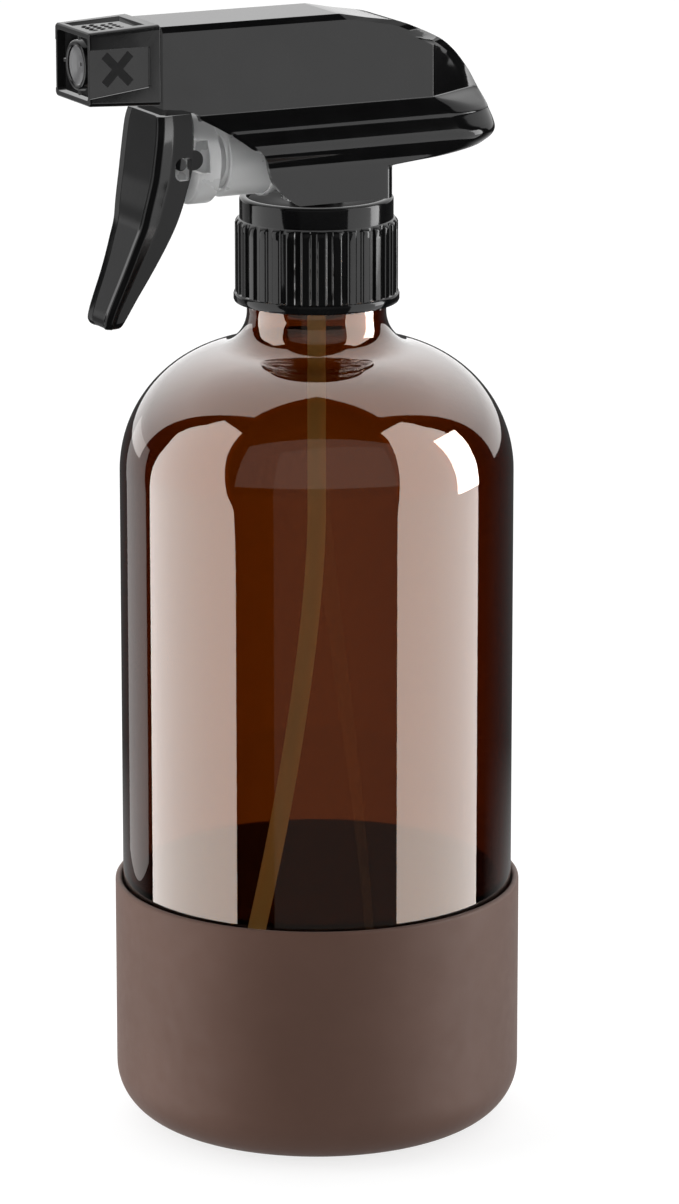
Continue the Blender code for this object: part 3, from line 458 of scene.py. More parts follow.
def build_glass():
    floor = GLASS_BASE + GLASS_FLOOR
    inner_heel = GLASS_HEEL - GLASS_WALL
    inside = [point for point in reversed(shoulder(GLASS_WALL)) if point[0] > BORE_RADIUS + 0.2]
    outline = [(0.0, floor + PUNT_DEPTH / 2), (PUNT_RADIUS * 0.5, floor + PUNT_DEPTH * 0.4)]
    outline += arc((BODY_RADIUS - GLASS_HEEL, floor + inner_heel), inner_heel, -90.0, 0.0, 12)
    outline += [(BODY_RADIUS - GLASS_WALL, z) for z in np.linspace(30.0, SHOULDER_START - 6.0, 10)]
    outline += inside
    neck_turn = inside[-1][1] + NECK_RADIUS - BORE_RADIUS
    outline += arc((BORE_RADIUS + 4.0, neck_turn + 2.0), 4.0, 215.0, 180.0, 5)
    outline += rounded([(BORE_RADIUS, LIP_TOP - 5.0, 0), (BORE_RADIUS, LIP_TOP, 0.9),
                        (FINISH_RADIUS, LIP_TOP, 0.9), (FINISH_RADIUS, LIP_TOP - 1.0, 0)], closed=False)
    outline += [(FINISH_RADIUS, z) for z in np.arange(LIP_TOP - 1.3, FINISH_BOTTOM + 0.2, -0.25)]
    outline += rounded([(FINISH_RADIUS, FINISH_BOTTOM, 0.5), (NECK_RADIUS, FINISH_BOTTOM - 0.8, 0.5)],
                       closed=False)
    outline += shoulder(0.0)
    outline += [(BODY_RADIUS, z) for z in np.linspace(SHOULDER_START - 6.0, 30.0, 10)]
    outline += arc((BODY_RADIUS - GLASS_HEEL, GLASS_BASE + GLASS_HEEL), GLASS_HEEL, 0.0, -90.0, 14)
    outline += arc((PUNT_RADIUS, GLASS_BASE), 1.2, 0.0, 180.0, 4)[1:]
    outline += [(PUNT_RADIUS * 0.6, GLASS_BASE + PUNT_DEPTH * 0.75), (0.0, GLASS_BASE + PUNT_DEPTH)]
    steps = 160
    columns = []
    for i in range(steps):
        angle = math.tau * i / steps
        column = []
        for r, z in outline:
            if r == FINISH_RADIUS:
                r += thread_bulge(angle, z)
            column.append((r * math.cos(angle), r * math.sin(angle), z))
        columns.append(column)
    glass = skin("glass_shell", columns + columns[:1], AMBER, caps=False, smooth_angle=60.0, around=False)
    return place(glass, "bottle", "amber_glass", "glass_bottle")


def build_boot():
    wall_in = BODY_RADIUS + GAP
    floor = GLASS_BASE - GAP
    heel = 10.2
    outline = [(0.0, floor), (wall_in - GLASS_HEEL - GAP, floor)]
    outline += arc((wall_in - GLASS_HEEL - GAP, floor + GLASS_HEEL + GAP), GLASS_HEEL + GAP, -90.0, 0.0,
                   12)[1:]
    outline += rounded([(wall_in, BOOT_HEIGHT - 6.0, 0), (wall_in, BOOT_HEIGHT, 0.5),
                        (BOOT_RADIUS, BOOT_HEIGHT, 0.75), (BOOT_RADIUS, BOOT_HEIGHT - 6.0, 0)], 6,
                       closed=False)
    outline += [(BOOT_RADIUS, z) for z in np.linspace(BOOT_HEIGHT - 10.0, heel + 4.0, 6)]
    outline += arc((BOOT_RADIUS - heel, heel), heel, 0.0, -90.0, 20)
    outline += [(0.0, 0.0)]
    boot = lathe("boot_sleeve", outline, SILICONE, steps=160, closed=False, smooth_angle=50.0)
    return place(boot, "bottle", "brown_silicone", "silicone_boot")


# ---- closure and what it clamps

RIBS = 32
RIB_BOTTOM, RIB_TOP = 162.2, 176.2
GROOVE_RADIUS, RIB_RADIUS = 14.85, 15.4
COLLAR_RADIUS = 14.55
SKIRT_BORE, COLLAR_BORE, PANEL_HOLE = 14.0, 13.2, 10.5
PANEL_BOTTOM, PANEL_TOP = 174.2, 176.4


def build_closure():
    """Each ring is one height; around it, a rib takes eight points and a groove two."""
    pitch = math.tau / RIBS
    section = [(-0.36, 0.0), (-0.30, 0.25), (-0.26, 0.8), (-0.20, 1.0), (0.0, 1.03), (0.20, 1.0),
               (0.26, 0.8), (0.30, 0.25), (0.36, 0.0), (0.5, 0.0)]

    def ring(groove, rib, height):
        points = []
        for i in range(RIBS):
            for turn, stand in section:
                angle = pitch * (i + turn)
                radius = groove + (rib - groove) * stand
                points.append((radius * math.cos(angle), radius * math.sin(angle), height))
        return points

    def plain(radius, height):
        return ring(radius, radius, height)

    flange, collar = CLOSURE_FLANGE, COLLAR_RADIUS
    stand = RIB_RADIUS - GROOVE_RADIUS
    rings = [plain(flange - 0.5, CLOSURE_BOTTOM), plain(flange - 0.15, CLOSURE_BOTTOM + 0.12),
             plain(flange, CLOSURE_BOTTOM + 0.45), plain(flange, RIB_BOTTOM - 0.45),
             plain(flange - 0.12, RIB_BOTTOM - 0.12), plain(RIB_RADIUS + 0.05, RIB_BOTTOM),
             ring(GROOVE_RADIUS + 0.1, RIB_RADIUS, RIB_BOTTOM + 0.08),
             ring(GROOVE_RADIUS, RIB_RADIUS, RIB_BOTTOM + 0.35)]
    rings += [ring(GROOVE_RADIUS, RIB_RADIUS, z) for z in (166.0, 170.0, 174.0)]
    rings += [ring(GROOVE_RADIUS, RIB_RADIUS, RIB_TOP - 0.75),
              ring(GROOVE_RADIUS, RIB_RADIUS - 0.12, RIB_TOP - 0.45),
              ring(GROOVE_RADIUS, GROOVE_RADIUS + stand * 0.35, RIB_TOP - 0.12),
              ring(GROOVE_RADIUS, GROOVE_RADIUS, RIB_TOP)]
    edge = rounded([(collar, RIB_TOP + 0.15, 0), (collar, CLOSURE_TOP, 0.8), (COLLAR_BORE, CLOSURE_TOP, 0.3),
                    (COLLAR_BORE, PANEL_TOP, 0.2), (PANEL_HOLE, PANEL_TOP, 0.2),
                    (PANEL_HOLE, PANEL_BOTTOM, 0.2), (SKIRT_BORE, PANEL_BOTTOM, 0.3),
                    (SKIRT_BORE, CLOSURE_BOTTOM, 0.4), (flange - 0.6, CLOSURE_BOTTOM, 0)], 4, closed=False)
    rings += [plain(r, z) for r, z in edge]
    closure = skin("ribbed_closure", rings, BLACK, caps=False, smooth_angle=28.0)
    return place(closure, "closure", "black_plastic", "screw_closure")


def build_gasket():
    edge = [(9.2, GASKET_TOP, 0.2), (13.2, GASKET_TOP, 0.2), (13.2, GASKET_BOTTOM, 0.2),
            (9.2, GASKET_BOTTOM, 0.2)]
    gasket = lathe("gasket_ring", rounded(edge, 3), ELASTOMER)
    return place(gasket, "gasket", "white_elastomer", "neck_gasket")


def build_insert():
    top = high("dip_tube_insert")[2]
    bottom = low("dip_tube_insert")[2]
    tube = 1.75 + GAP
    edge = [(2.9, top, 0.2), (5.0, top, 0.4), (5.0, PANEL_TOP + GAP, 0.3), (10.2, PANEL_TOP + GAP, 0.3),
            (10.2, PANEL_BOTTOM - GAP, 0.1), (13.3, PANEL_BOTTOM - GAP, 0.2), (13.3, GASKET_TOP + GAP, 0.2),
            (3.6, GASKET_TOP + GAP, 0.4), (3.6, bottom, 0.4), (tube, bottom, 0.4), (tube, 171.3, 0.1),
            (1.2, 171.3, 0.1), (1.2, 174.9, 0.2), (2.9, 176.5, 0.2)]
    insert = lathe("tube_insert", rounded(edge, 3), INSERT, steps=72)
    return place(insert, "head", "natural_plastic", "dip_tube_insert")


def build_dip_tube():
    """A hollow tube on the route that its CAD solid takes: straight down, then curving away."""
    top, bottom = high("dip_tube")[2], low("dip_tube")[2] + 0.5
    straight_to, reach = 118.0, 21.0
    route = [(0.0, z) for z in np.linspace(top, straight_to + 8.0, 8)]
    for share in np.linspace(0.0, 1.0, 36):
        route.append((reach * share**1.55, straight_to + (bottom - straight_to) * share))
    rings = []
    for i, (x, z) in enumerate(route):
        ahead, behind = route[min(i + 1, len(route) - 1)], route[max(i - 1, 0)]
        run = Vector((ahead[0] - behind[0], 0.0, ahead[1] - behind[1])).normalized()
        side = Vector((run.z, 0.0, -run.x))
        ring = []
        for step in range(24):
            angle = math.tau * step / 24
            offset = side * math.cos(angle) + Vector((0.0, 1.0, 0.0)) * math.sin(angle)
            ring.append((Vector((x, 0.0, z)), offset))
        rings.append(ring)
    outer = [[centre + offset * 1.75 for centre, offset in ring] for ring in rings]
    inner = [[centre + offset * 1.2 for centre, offset in ring] for ring in rings]
    tube = skin("dip_hose", outer + inner[::-1] + outer[:1], GLOWING_TUBING, caps=False, smooth_angle=50.0)
    return place(tube, "head", "clear_tubing", "dip_tube")


# ---- pump body and piston

BASE_RADIUS, BASE_BOTTOM, BASE_TOP = 12.9, 177.1, 180.0
RISER_RADIUS, RISER_BORE, RISER_CAVITY_TOP = 6.6, 5.3, 183.8
BARREL_RADIUS, BARREL_BORE = 7.5, 6.2
BARREL_BACK, BARREL_FLOOR, BARREL_FRONT = 4.0, 8.0, 21.2
BAND_RADIUS, BAND_BACK, BAND_FRONT = 8.0, 11.2, 12.4
TIP_RADIUS, TIP_BORE = 3.9, 2.6
TIP_BACK, TIP_FLOOR, TIP_FRONT = 2.0, 34.0, 45.0
WEB_BOTTOM, WEB_TOP, WEB_HALF = 190.5, 207.1, 6.3
TRUNNION_RADIUS = 1.3
CROSS_PIN_X, CROSS_PIN_RADIUS, CROSS_PIN_HALF = 30.4, 1.2, 5.2


def turned_pin(name, radius, half, edge, material):
    """A pin with rounded ends, standing along Z."""
    outline = rounded([(0.0, -half, 0), (radius, -half, edge), (radius, half, edge), (0.0, half, 0)], 3,
                      closed=False)
    return lathe(name, outline, material, steps=32, closed=False)


def build_pump():
    edge = [(0.0, SPRAY_HEIGHT - 0.2, 0), (4.8, SPRAY_HEIGHT - 0.2, 1.2),
            (RISER_RADIUS, SPRAY_HEIGHT - 5.0, 1.0), (RISER_RADIUS, BASE_BOTTOM + 0.2, 0.3),
            (RISER_BORE, BASE_BOTTOM + 0.2, 0.2), (RISER_BORE, RISER_CAVITY_TOP, 0.2),
            (0.0, RISER_CAVITY_TOP, 0)]
    riser = lathe("pump_riser", rounded(edge, 3, closed=False), NATURAL, steps=72, closed=False)
    place(riser, "head", "natural_plastic", "pump_body")
    edge = [(RISER_RADIUS - 0.2, BASE_TOP, 0.2), (BASE_RADIUS, BASE_TOP, 0.4),
            (BASE_RADIUS, BASE_BOTTOM, 0.3), (RISER_RADIUS - 0.2, BASE_BOTTOM, 0.2)]
    place(lathe("pump_flange", rounded(edge, 3), CORE, steps=72), "head", "black_plastic")
    rim = rounded([(BARREL_BORE, BARREL_FLOOR, 0), (BARREL_BORE, BARREL_FRONT, 0.25),
                   (BARREL_RADIUS, BARREL_FRONT, 0.35), (BARREL_RADIUS, BARREL_BACK, 0)], 3, closed=False)
    barrel = spun("pump_cylinder", rim + [(0.0, BARREL_BACK), (0.0, BARREL_FLOOR)], NATURAL, CYLINDER_HEIGHT,
                  closed=False)
    place(barrel, "head", "natural_plastic")
    band = rounded([(BARREL_RADIUS, BAND_BACK, 0.1), (BAND_RADIUS, BAND_BACK, 0.25),
                    (BAND_RADIUS, BAND_FRONT, 0.25), (BARREL_RADIUS, BAND_FRONT, 0.1)], 3)
    place(spun("cylinder_band", band, NATURAL, CYLINDER_HEIGHT), "head", "natural_plastic")
    tube = rounded([(TIP_BORE, TIP_FLOOR, 0), (TIP_BORE, TIP_FRONT, 0.2), (TIP_RADIUS, TIP_FRONT, 0.4),
                    (TIP_RADIUS, TIP_BACK, 0)], 3, closed=False)
    tip = spun("spray_tube", tube + [(0.0, TIP_BACK), (0.0, TIP_FLOOR)], NATURAL, SPRAY_HEIGHT, 48,
               closed=False)
    place(tip, "head", "natural_plastic")
    outline = rounded([(2.0, WEB_BOTTOM, 0.6), (16.4, WEB_BOTTOM, 0.6), (17.0, 196.0, 0.8),
                       (17.0, WEB_TOP, 1.0), (2.0, WEB_TOP, 0.6)])
    web = bevel(prism("body_web", outline, -WEB_HALF, WEB_HALF, NATURAL), 0.5, 3)
    cut(web, spun("web_bore", bore_outline(6.6, 1.0, 22.0), None, CYLINDER_HEIGHT, closed=False))
    place(web, "head", "natural_plastic")
    pins = turned_pin("trigger_trunnions", TRUNNION_RADIUS, WEB_HALF, 0.2, NATURAL)
    lay_across(pins, *PIVOT)
    place(pins, "head", "natural_plastic")


def build_piston():
    rear, stem, land = 15.0, 4.7, 5.85
    front = CUP_FRONT
    edge = [(0.0, front, 0), (CUP_RADIUS, front, 0.8), (CUP_RADIUS, 23.6, 0.25),
            (CUP_RADIUS - 0.55, 23.6, 0.2), (CUP_RADIUS - 0.55, front - 0.9, 0.3), (4.2, front - 0.9, 0.4),
            (4.2, 24.8, 0.2), (stem, 24.3, 0.2), (stem, rear + 6.0, 0.1), (land, rear + 5.9, 0.2),
            (land, rear + 5.1, 0.2), (stem, rear + 5.0, 0.1), (stem, rear + 3.6, 0.1),
            (land, rear + 3.5, 0.2), (land, rear + 2.5, 0.2), (stem, rear + 2.4, 0.1),
            (stem, rear + 1.0, 0.1), (land, rear + 0.9, 0.2), (land, rear, 0.2), (3.8, rear, 0.2),
            (3.8, 24.1, 0.2), (0.0, 24.1, 0)]
    piston = spun("piston_cup", rounded(edge, 3, closed=False), NATURAL, CYLINDER_HEIGHT, closed=False)
    for side in (-1.0, 1.0):
        near, far = sorted((side * 4.4, side * 9.0))
        cut(piston, cuboid(f"notch_{side}", (25.9, near, 188.0), (29.0, far, 194.0)))
    # The cross pin is natural plastic but takes the black material: painted shade, so that it reads as a dark
    # hole in the trigger's slot.
    pin = turned_pin("cross_pin", CROSS_PIN_RADIUS, CROSS_PIN_HALF, 0.25, BLACK)
    lay_across(pin, CROSS_PIN_X, CYLINDER_HEIGHT)
    lug = bevel(cuboid("piston_lug", (27.6, -2.6, CYLINDER_HEIGHT - 1.2), (30.6, 2.6, CYLINDER_HEIGHT + 1.2),
                       NATURAL), 0.3)
    shade(piston, 30.0)
    place(piston, "piston", "natural_plastic", "piston")
    place(pin, "piston", "natural_plastic")
    place(lug, "piston", "natural_plastic")


# ---- shroud

SHROUD_WALL = 1.2
PIVOT_ROW = 200.5  # the height where the mouth's sweep meets the straight front
PANEL_END = -20.5  # how far back the flat side runs before the cheek


def mouth_edge(heights):
    """How far forward the shroud's side reaches at each height, along its sweeping front edge."""
    sweep = [(6.8, 179.5), (9.8, 181.4), (12.6, 183.6), (14.2, 185.6), (14.9, 187.4), (15.9, 189.8),
             (17.8, 192.1), (20.6, 194.5), (23.6, 196.5), (27.0, 198.4), (30.2, 199.8), (33.0, 200.4),
             (35.3, PIVOT_ROW)]
    smooth = np.array(through(sweep, 6))
    order = np.argsort(smooth[:, 1])
    return np.interp(heights, smooth[order, 1], smooth[order, 0])


def shroud_rows():
    """Height, half width, rear end, length of the rounded end, half width of the hood, share of the fold."""
    skirt = [(180.8, 11.0, -13.1, 4.0), (183.5, 11.0, -13.1, 4.0), (185.8, 11.0, -13.1, 4.0),
             (186.7, 11.02, -13.4, 4.3)]
    ledge = [(187.0, 11.04, -15.5, 6.0), (187.4, 11.06, -21.5, 9.0), (187.9, 11.12, -27.5, 10.5),
             (188.8, 11.35, -32.6, 11.5)]
    lip = [(189.8, 11.85, -34.7, 12.0), (190.5, 12.28, -35.6, 12.2), (191.1, 12.56, -36.05, 12.4),
           (191.7, 12.66, -36.25, 12.6), (192.3, 12.6, -36.2, 12.8), (192.8, 12.38, -36.1, 13.0),
           (193.4, 11.96, -35.95, 13.0), (194.4, 11.22, -35.6, 13.0), (195.3, 10.56, -35.25, 13.0),
           (195.55, 10.47, -35.2, 13.0), (195.8, 10.32, -35.1, 13.0)]
    smooth = [row + (0.6, 0.0) for row in skirt + ledge + lip]
    fold = [(196.7, 9.65, -34.75, 13.0, 0.6, 0.12), (197.7, 8.91, -34.35, 12.6, 0.6, 0.45),
            (198.5, 8.32, -34.0, 12.2, 0.6, 0.85), (198.85, 8.08, -33.85, 11.8, 0.6, 0.97),
            (199.1, 8.0, -33.7, 11.4, 0.6, 1.0)]
    wall = [(202.0, 8.0, -32.0, 10.5, 0.9, 1.0), (204.5, 8.0, -29.9, 9.5, 1.8, 1.0),
            (207.0, 8.0, -26.9, 8.6, 3.9, 1.0), (209.5, 8.0, -22.8, 7.8, 7.0, 1.0)]
    upper = [(211.8, 8.0, -17.9, 7.0, 8.0, 1.0), (213.5, 8.0, -13.4, 6.0, 8.0, 1.0),
             (SHROUD_TOP - CROWN_FLAT[0], 8.0, -7.0, 5.2, 8.0, 1.0)]
    return smooth + fold + wall + upper


CROWN_FLAT = (1.1, 0.81)  # how far down and how far across the flat along the crown's edge runs
CORNER_STEPS, CHEEK_STEPS, HOOD_STEPS = 10, 5, 8


def hood_slope(rows, i):
    """The sine of how steeply the hood rises at a row."""
    below, above = rows[max(i - 1, 0)], rows[min(i + 1, len(rows) - 1)]
    rise, run = above[0] - below[0], abs(above[2] - below[2])
    return max(rise / math.hypot(rise, run), 0.25)


def rear_half(half, rear, end, hood, folded, slope, flat):
    """Half of the shroud's rear, from its side to the middle.

    It is rounded low down. Above the fold it is a cheek and a hood, with a flat on the edge between them.
    """
    steps = CORNER_STEPS + CHEEK_STEPS + HOOD_STEPS + 1
    turn = [math.pi / 2 * (1.0 + i / steps) for i in range(steps + 1)]
    round_end = np.array([(rear + end + end * math.cos(a), half * math.sin(a)) for a in turn])
    if folded == 0.0:
        return round_end
    rise, across = flat
    hood = min(hood, half)
    across = min(across, hood * 0.6)
    along = rise / slope
    if hood > half - 0.3 or rear + along > PANEL_END - 1.0:
        start = max(rear + along + 2.0, PANEL_END)
        corner = [(start + (1.0 - i / CORNER_STEPS), half) for i in range(CORNER_STEPS + 1)]
    else:
        bend = [(PANEL_END + 4.0, half, 0), (PANEL_END, half, 0.4), (rear + along, hood, 0)]
        corner = rounded(bend, CORNER_STEPS, closed=False)[1:-1]
    begin, edge = np.array(corner[-1]), np.array((rear + along, hood))
    cheek = [tuple(begin + (edge - begin) * i / CHEEK_STEPS) for i in range(1, CHEEK_STEPS + 1)]
    top = [(rear, (hood - across) * (1.0 - i / HOOD_STEPS)) for i in range(HOOD_STEPS + 1)]
    return round_end * (1.0 - folded) + np.array(corner + cheek + top) * folded


def build_shroud():
    rows = [row for row in through(shroud_rows(), 5) if abs(row[0] - PIVOT_ROW) > 0.08]
    joint = np.array([np.interp(PIVOT_ROW, [r[0] for r in rows], [r[i] for r in rows]) for i in range(6)])
    rows = sorted(rows + [joint], key=lambda row: row[0])
    slopes = [hood_slope(rows, i) for i in range(len(rows))]
    flats = [CROWN_FLAT] * len(rows)
    rows.append((SHROUD_TOP, 8.0 - CROWN_FLAT[1], -1.2, 3.0, 8.0 - CROWN_FLAT[1], 1.0))
    slopes.append(slopes[-1])
    flats.append((0.02, 0.02))
    side_steps = 14
    rings = []
    for (height, half, rear, end, hood, folded), slope, flat in zip(rows, slopes, flats):
        front = SHROUD_FRONT if height >= PIVOT_ROW else float(mouth_edge(height))
        tail = rear_half(half, rear, end, hood, min(max(folded, 0.0), 1.0), slope, flat)
        start = tail[0][0]
        side = [(front + (start - front) * i / side_steps, half) for i in range(side_steps)]
        near = side + [tuple(p) for p in tail]
        far = [(x, -y) for x, y in reversed(near[:-1])]
        rings.append([(x, y, height) for x, y in near + far])
    count = len(rings[0])
    points = [point for ring in rings for point in ring]
    faces = []
    for row in range(len(rings) - 1):
        for i in range(count - 1):
            a, b = row * count + i, (row + 1) * count + i
            faces.append((a, a + 1, b + 1, b))
    last = (len(rings) - 1) * count
    faces.append(tuple(last + i for i in range(count)))
    upper = [row for row in range(len(rings)) if rows[row][0] >= PIVOT_ROW]
    left_edge = [row * count for row in upper]
    right_edge = [row * count + count - 1 for row in reversed(upper)]
    faces.append(tuple(left_edge + right_edge))
    shroud = new_object("shroud_cover", points, faces, BLACK, 50.0)
    wall = shroud.modifiers.new("wall", "SOLIDIFY")
    wall.thickness = SHROUD_WALL * MM
    wall.offset = -1.0
    settle(shroud)
    cut(shroud, spun("tip_hole", bore_outline(4.3, 30.0, 40.0), None, SPRAY_HEIGHT, 48, closed=False))
    shade(shroud, 30.0)
    return place(shroud, "head", "black_plastic", "shroud")


# ---- nozzle


def rect_ring(x, half_y, bottom, top, corner, steps=4):
    outline = rounded([(half_y, top, corner), (-half_y, top, corner), (-half_y, bottom, corner),
                       (half_y, bottom, corner)], steps)
    return [(x, y, z) for y, z in outline]


def build_nozzle():
    middle = SPRAY_HEIGHT
    back, front = NOZZLE_BACK, NOZZLE_FRONT
    rear = (8.1, middle - 7.4, middle + 7.6)
    nose = (7.9, middle - 6.7, middle + 6.9)

    def section(x, inset, corner):
        share = (x - back) / (front - back)
        half, bottom, top = [a + (b - a) * share for a, b in zip(rear, nose)]
        return rect_ring(x, half - inset, bottom + inset, top - inset, max(corner - inset, 0.15))

    outside = [section(back, 0.3, 0.9), section(back + 0.3, 0.0, 0.9), section(front - 0.25, 0.0, 0.9),
               section(front, 0.25, 0.9)]
    shell = skin("nozzle_shell", outside, BLACK)
    floor = 38.8
    hollow = skin("hollow", [section(floor, 1.9, 2.4), section(front + 1.0, 1.0, 1.6)], None)
    cut(shell, hollow)
    ramp = [(37.9, 204.9), (52.0, 203.2), (52.0, 212.4), (37.9, 212.4)]
    for side in (-1.0, 1.0):
        near, far = sorted((side * 7.45, side * 9.5))
        panel = prism(f"side_panel_{side}", rounded([(x, z, 0.3) for x, z in ramp], 3), near, far)
        cut(shell, panel)
    for name, bottom, top in (("top_panel", middle + 6.55, 220.0), ("low_panel", 195.0, middle - 6.4)):
        outline = rounded([(37.9, bottom, 0.1), (48.9, bottom - 0.25 if bottom > middle else bottom, 0.1),
                           (48.9, top, 0.1), (37.9, top, 0.1)], 2)
        cut(shell, prism(name, outline, -5.6, 5.6))
    bevel(shell, 0.16, 2, 35.0)
    place(shell, "nozzle", "black_plastic", "nozzle_cap")
    tube = rounded([(3.4, 47.4, 0.1), (3.5, front - 0.6, 0.5), (4.6, front - 0.6, 0.4),
                    (5.6, floor - 0.6, 0.2), (4.25, floor - 0.6, 0.2), (4.25, 47.3, 0.1)], 4)
    place(spun("nozzle_tube", tube, BLACK, middle, 64), "nozzle", "black_plastic")
    core = skin("nozzle_core", [section(floor - 0.4, 1.7, 2.4), section(front - 1.6, 0.9, 1.6)], CORE)
    cut(core, spun("core_bore", bore_outline(4.9, floor - 2.0, front + 2.0), None, middle, 64, closed=False))
    place(core, "nozzle", "black_plastic")
    face = rounded([(0.4, front - 1.7, 0.05), (1.6, front - 1.6, 0.3), (3.0, front - 1.2, 0.3),
                    (3.6, front - 0.9, 0.05), (3.6, front - 2.2, 0.05), (0.4, front - 2.2, 0.05)], 3)
    place(spun("nozzle_face", face, GREY, middle, 64), "nozzle", "grey_plastic")
    ribs = cuboid("nozzle_ribs", (floor - 0.3, -7.0, middle - 0.3), (front - 1.25, -4.4, middle + 0.3), BLACK)
    for turn in (90.0, 180.0, 270.0):
        reach = 7.0 if turn == 180.0 else 6.0
        rib = cuboid("rib", (floor - 0.3, -reach, -0.3), (front - 1.25, -4.4, 0.3), BLACK)
        spin = Matrix.Rotation(math.radians(turn), 4, "X")
        rib.data.transform(Matrix.Translation((0.0, 0.0, middle * MM)) @ spin)
        join(ribs, rib)
    place(bevel(ribs, 0.1), "nozzle", "black_plastic")
    bar_low, bar_high, lean = (-3.75, -0.12, -0.8), (3.75, 0.12, 0.8), math.radians(46.0)
    for side in (-1.0, 1.0):
        cross = cuboid("bar", bar_low, bar_high)
        other = cuboid("bar_2", bar_low, bar_high)
        cross.data.transform(Matrix.Rotation(lean, 4, "Y"))
        other.data.transform(Matrix.Rotation(-lean, 4, "Y"))
        join(cross, other)
        cross.name = f"closed_mark_{'near' if side > 0 else 'far'}"
        cross.data.materials.clear()
        cross.data.materials.append(MARK)
        cross.data.transform(Matrix.Translation(Vector((44.2, side * 7.42, middle - 0.05)) * MM))
        place(cross, "nozzle", "black_plastic")
    dots = []
    pitch_along, pitch_across, first_row = 1.9, 1.7, 40.6
    for row in range(4):
        for column in range(5 - row % 2):
            dots.append((first_row + row * pitch_along, (column - (4 - row % 2) / 2) * pitch_across))
    for name, height, flip in (("spray_mark_top", middle + 6.35, 1.0),
                               ("spray_mark_low", middle - 6.25, -1.0)):
        points, faces = [], []
        for x, y in dots:
            base = len(points)
            for radius, rise in ((0.55, 0.0), (0.5, 0.28), (0.3, 0.42)):
                for step in range(12):
                    angle = math.tau * step / 12
                    points.append((x + radius * math.cos(angle), y + radius * math.sin(angle),
                                   height + flip * rise))
            for band in range(2):
                for step in range(12):
                    a, b = base + band * 12, base + band * 12 + 12
                    j = (step + 1) % 12
                    faces.append((a + step, a + j, b + j, b + step))
            faces.append(tuple(base + i for i in range(12)))
            faces.append(tuple(base + 24 + i for i in range(12)))
        place(new_object(name, points, faces, BLACK, 30.0), "nozzle", "black_plastic")
    disc = rounded([(0.4, 46.55, 0.05), (0.8, 46.95, 0.1), (2.4, 46.95, 0.1), (3.1, 47.0, 0.1),
                    (3.9, 47.0, 0.1), (3.9, 46.0, 0.1), (0.4, 46.0, 0.05)], 3)
    place(spun("spray_disc", disc, GREY, middle, 64), "nozzle", "grey_plastic", "orifice_disc")


# ---- trigger


def trigger_rows():
    """(height, front x, rear x, half width in front, half width behind), from the tip up."""
    return [
        (159.2, 45.0, 42.8, 3.7, 3.2), (159.5, 45.4, 42.2, 4.4, 3.7), (160.4, 45.65, 41.6, 4.85, 4.0),
        (162.2, 45.2, 40.5, 5.05, 4.1), (164.8, 44.2, 38.9, 5.3, 4.2), (168.2, 42.8, 36.8, 5.6, 4.5),
        (171.6, 41.5, 34.8, 6.0, 4.8), (175.0, 40.3, 33.0, 6.5, 5.2), (178.2, 39.2, 31.5, 7.0, 5.5),
        (181.4, 38.6, 30.4, 7.55, 5.85), (184.4, 38.0, 29.6, 8.0, 6.1), (187.0, 37.5, 28.9, 8.3, 6.3),
        (189.4, 37.15, 28.5, 8.4, 6.4), (194.0, 36.55, 28.3, 8.4, 6.4), (197.0, 36.2, 28.3, 8.1, 6.4),
        (199.0, 35.9, 28.7, 7.4, 6.4)]


def trigger_ring(height, front, rear, front_half, rear_half, inset=0.0, dish=0.35):
    """A broad dished front between two rolled ridges, and sides that lean in to the rear."""
    middle_half = rear_half + 0.3 * (front_half - rear_half)
    corners = [
        (rear, -rear_half + inset, 0.4), (rear, rear_half - inset, 0.4),
        (front - 0.45 * (front - rear), middle_half - inset, 2.5),
        (front - 1.0 - inset, front_half - inset, 0.55),
        (front - inset, front_half - 0.8 - inset, 0.5),
        (front - dish - inset, front_half - 2.4 - inset, 1.2),
        (front - dish - inset, -front_half + 2.4 + inset, 1.2),
        (front - inset, -front_half + 0.8 + inset, 0.5),
        (front - 1.0 - inset, -front_half + inset, 0.55),
        (front - 0.45 * (front - rear), -middle_half + inset, 2.5)]
    return [(x, y, height) for x, y in rounded(corners, 3)]


def build_trigger():
    rows = through(trigger_rows(), 4)
    trigger = skin("finger_trigger", [trigger_ring(*row) for row in rows], TRIGGER_BLACK)
    wall = 1.3
    rises = [row for row in rows if row[0] > 164.0]
    channel = [trigger_ring(h, f, r - 3.0, a, b, inset=wall, dish=0.0) for h, f, r, a, b in rises]
    top = rises[-1]
    channel.append(trigger_ring(top[0] + 2.0, top[1], top[2] - 3.0, top[3], top[4], inset=wall, dish=0.0))
    cut(trigger, skin("channel", channel, None))
    inner, outer = 4.6, 6.4
    ear_height = CYLINDER_HEIGHT + 0.9
    for sign in (1.0, -1.0):
        arm = [(34.4, 196.5, 0), (33.7, 201.0, 1.0)] + [(x, z, 0) for x, z in arc(PIVOT, 2.3, 0.0, 180.0, 16)]
        arm += [(29.2, 201.0, 1.0), (28.6, 196.5, 0)]
        ear = [(x, z, 0) for x, z in arc((28.4, ear_height), 1.9, 90.0, 270.0, 16)]
        ear += [(31.5, ear_height - 1.9, 0), (31.5, ear_height + 1.9, 0)]
        near, far = sorted((sign * inner, sign * outer))
        for outline in (arm, ear):
            join(trigger, prism(f"lug_{sign}", rounded(outline, 3), near, far))
    eye = lathe("eye", bore_outline(1.6, -9.0, 9.0), None, steps=32, closed=False)
    lay_across(eye, *PIVOT)
    slot = rounded([(28.9, 186.6, 0.7), (32.4, 186.6, 1.4), (32.4, 190.9, 1.4), (28.9, 190.9, 0.7)], 5)
    cut(trigger, eye, prism("slot", slot, -12.0, 12.0))
    bevel(trigger, 0.15, 2, 50.0)
    return place(trigger, "trigger", "black_plastic", "trigger")


# ---- stage, light and camera


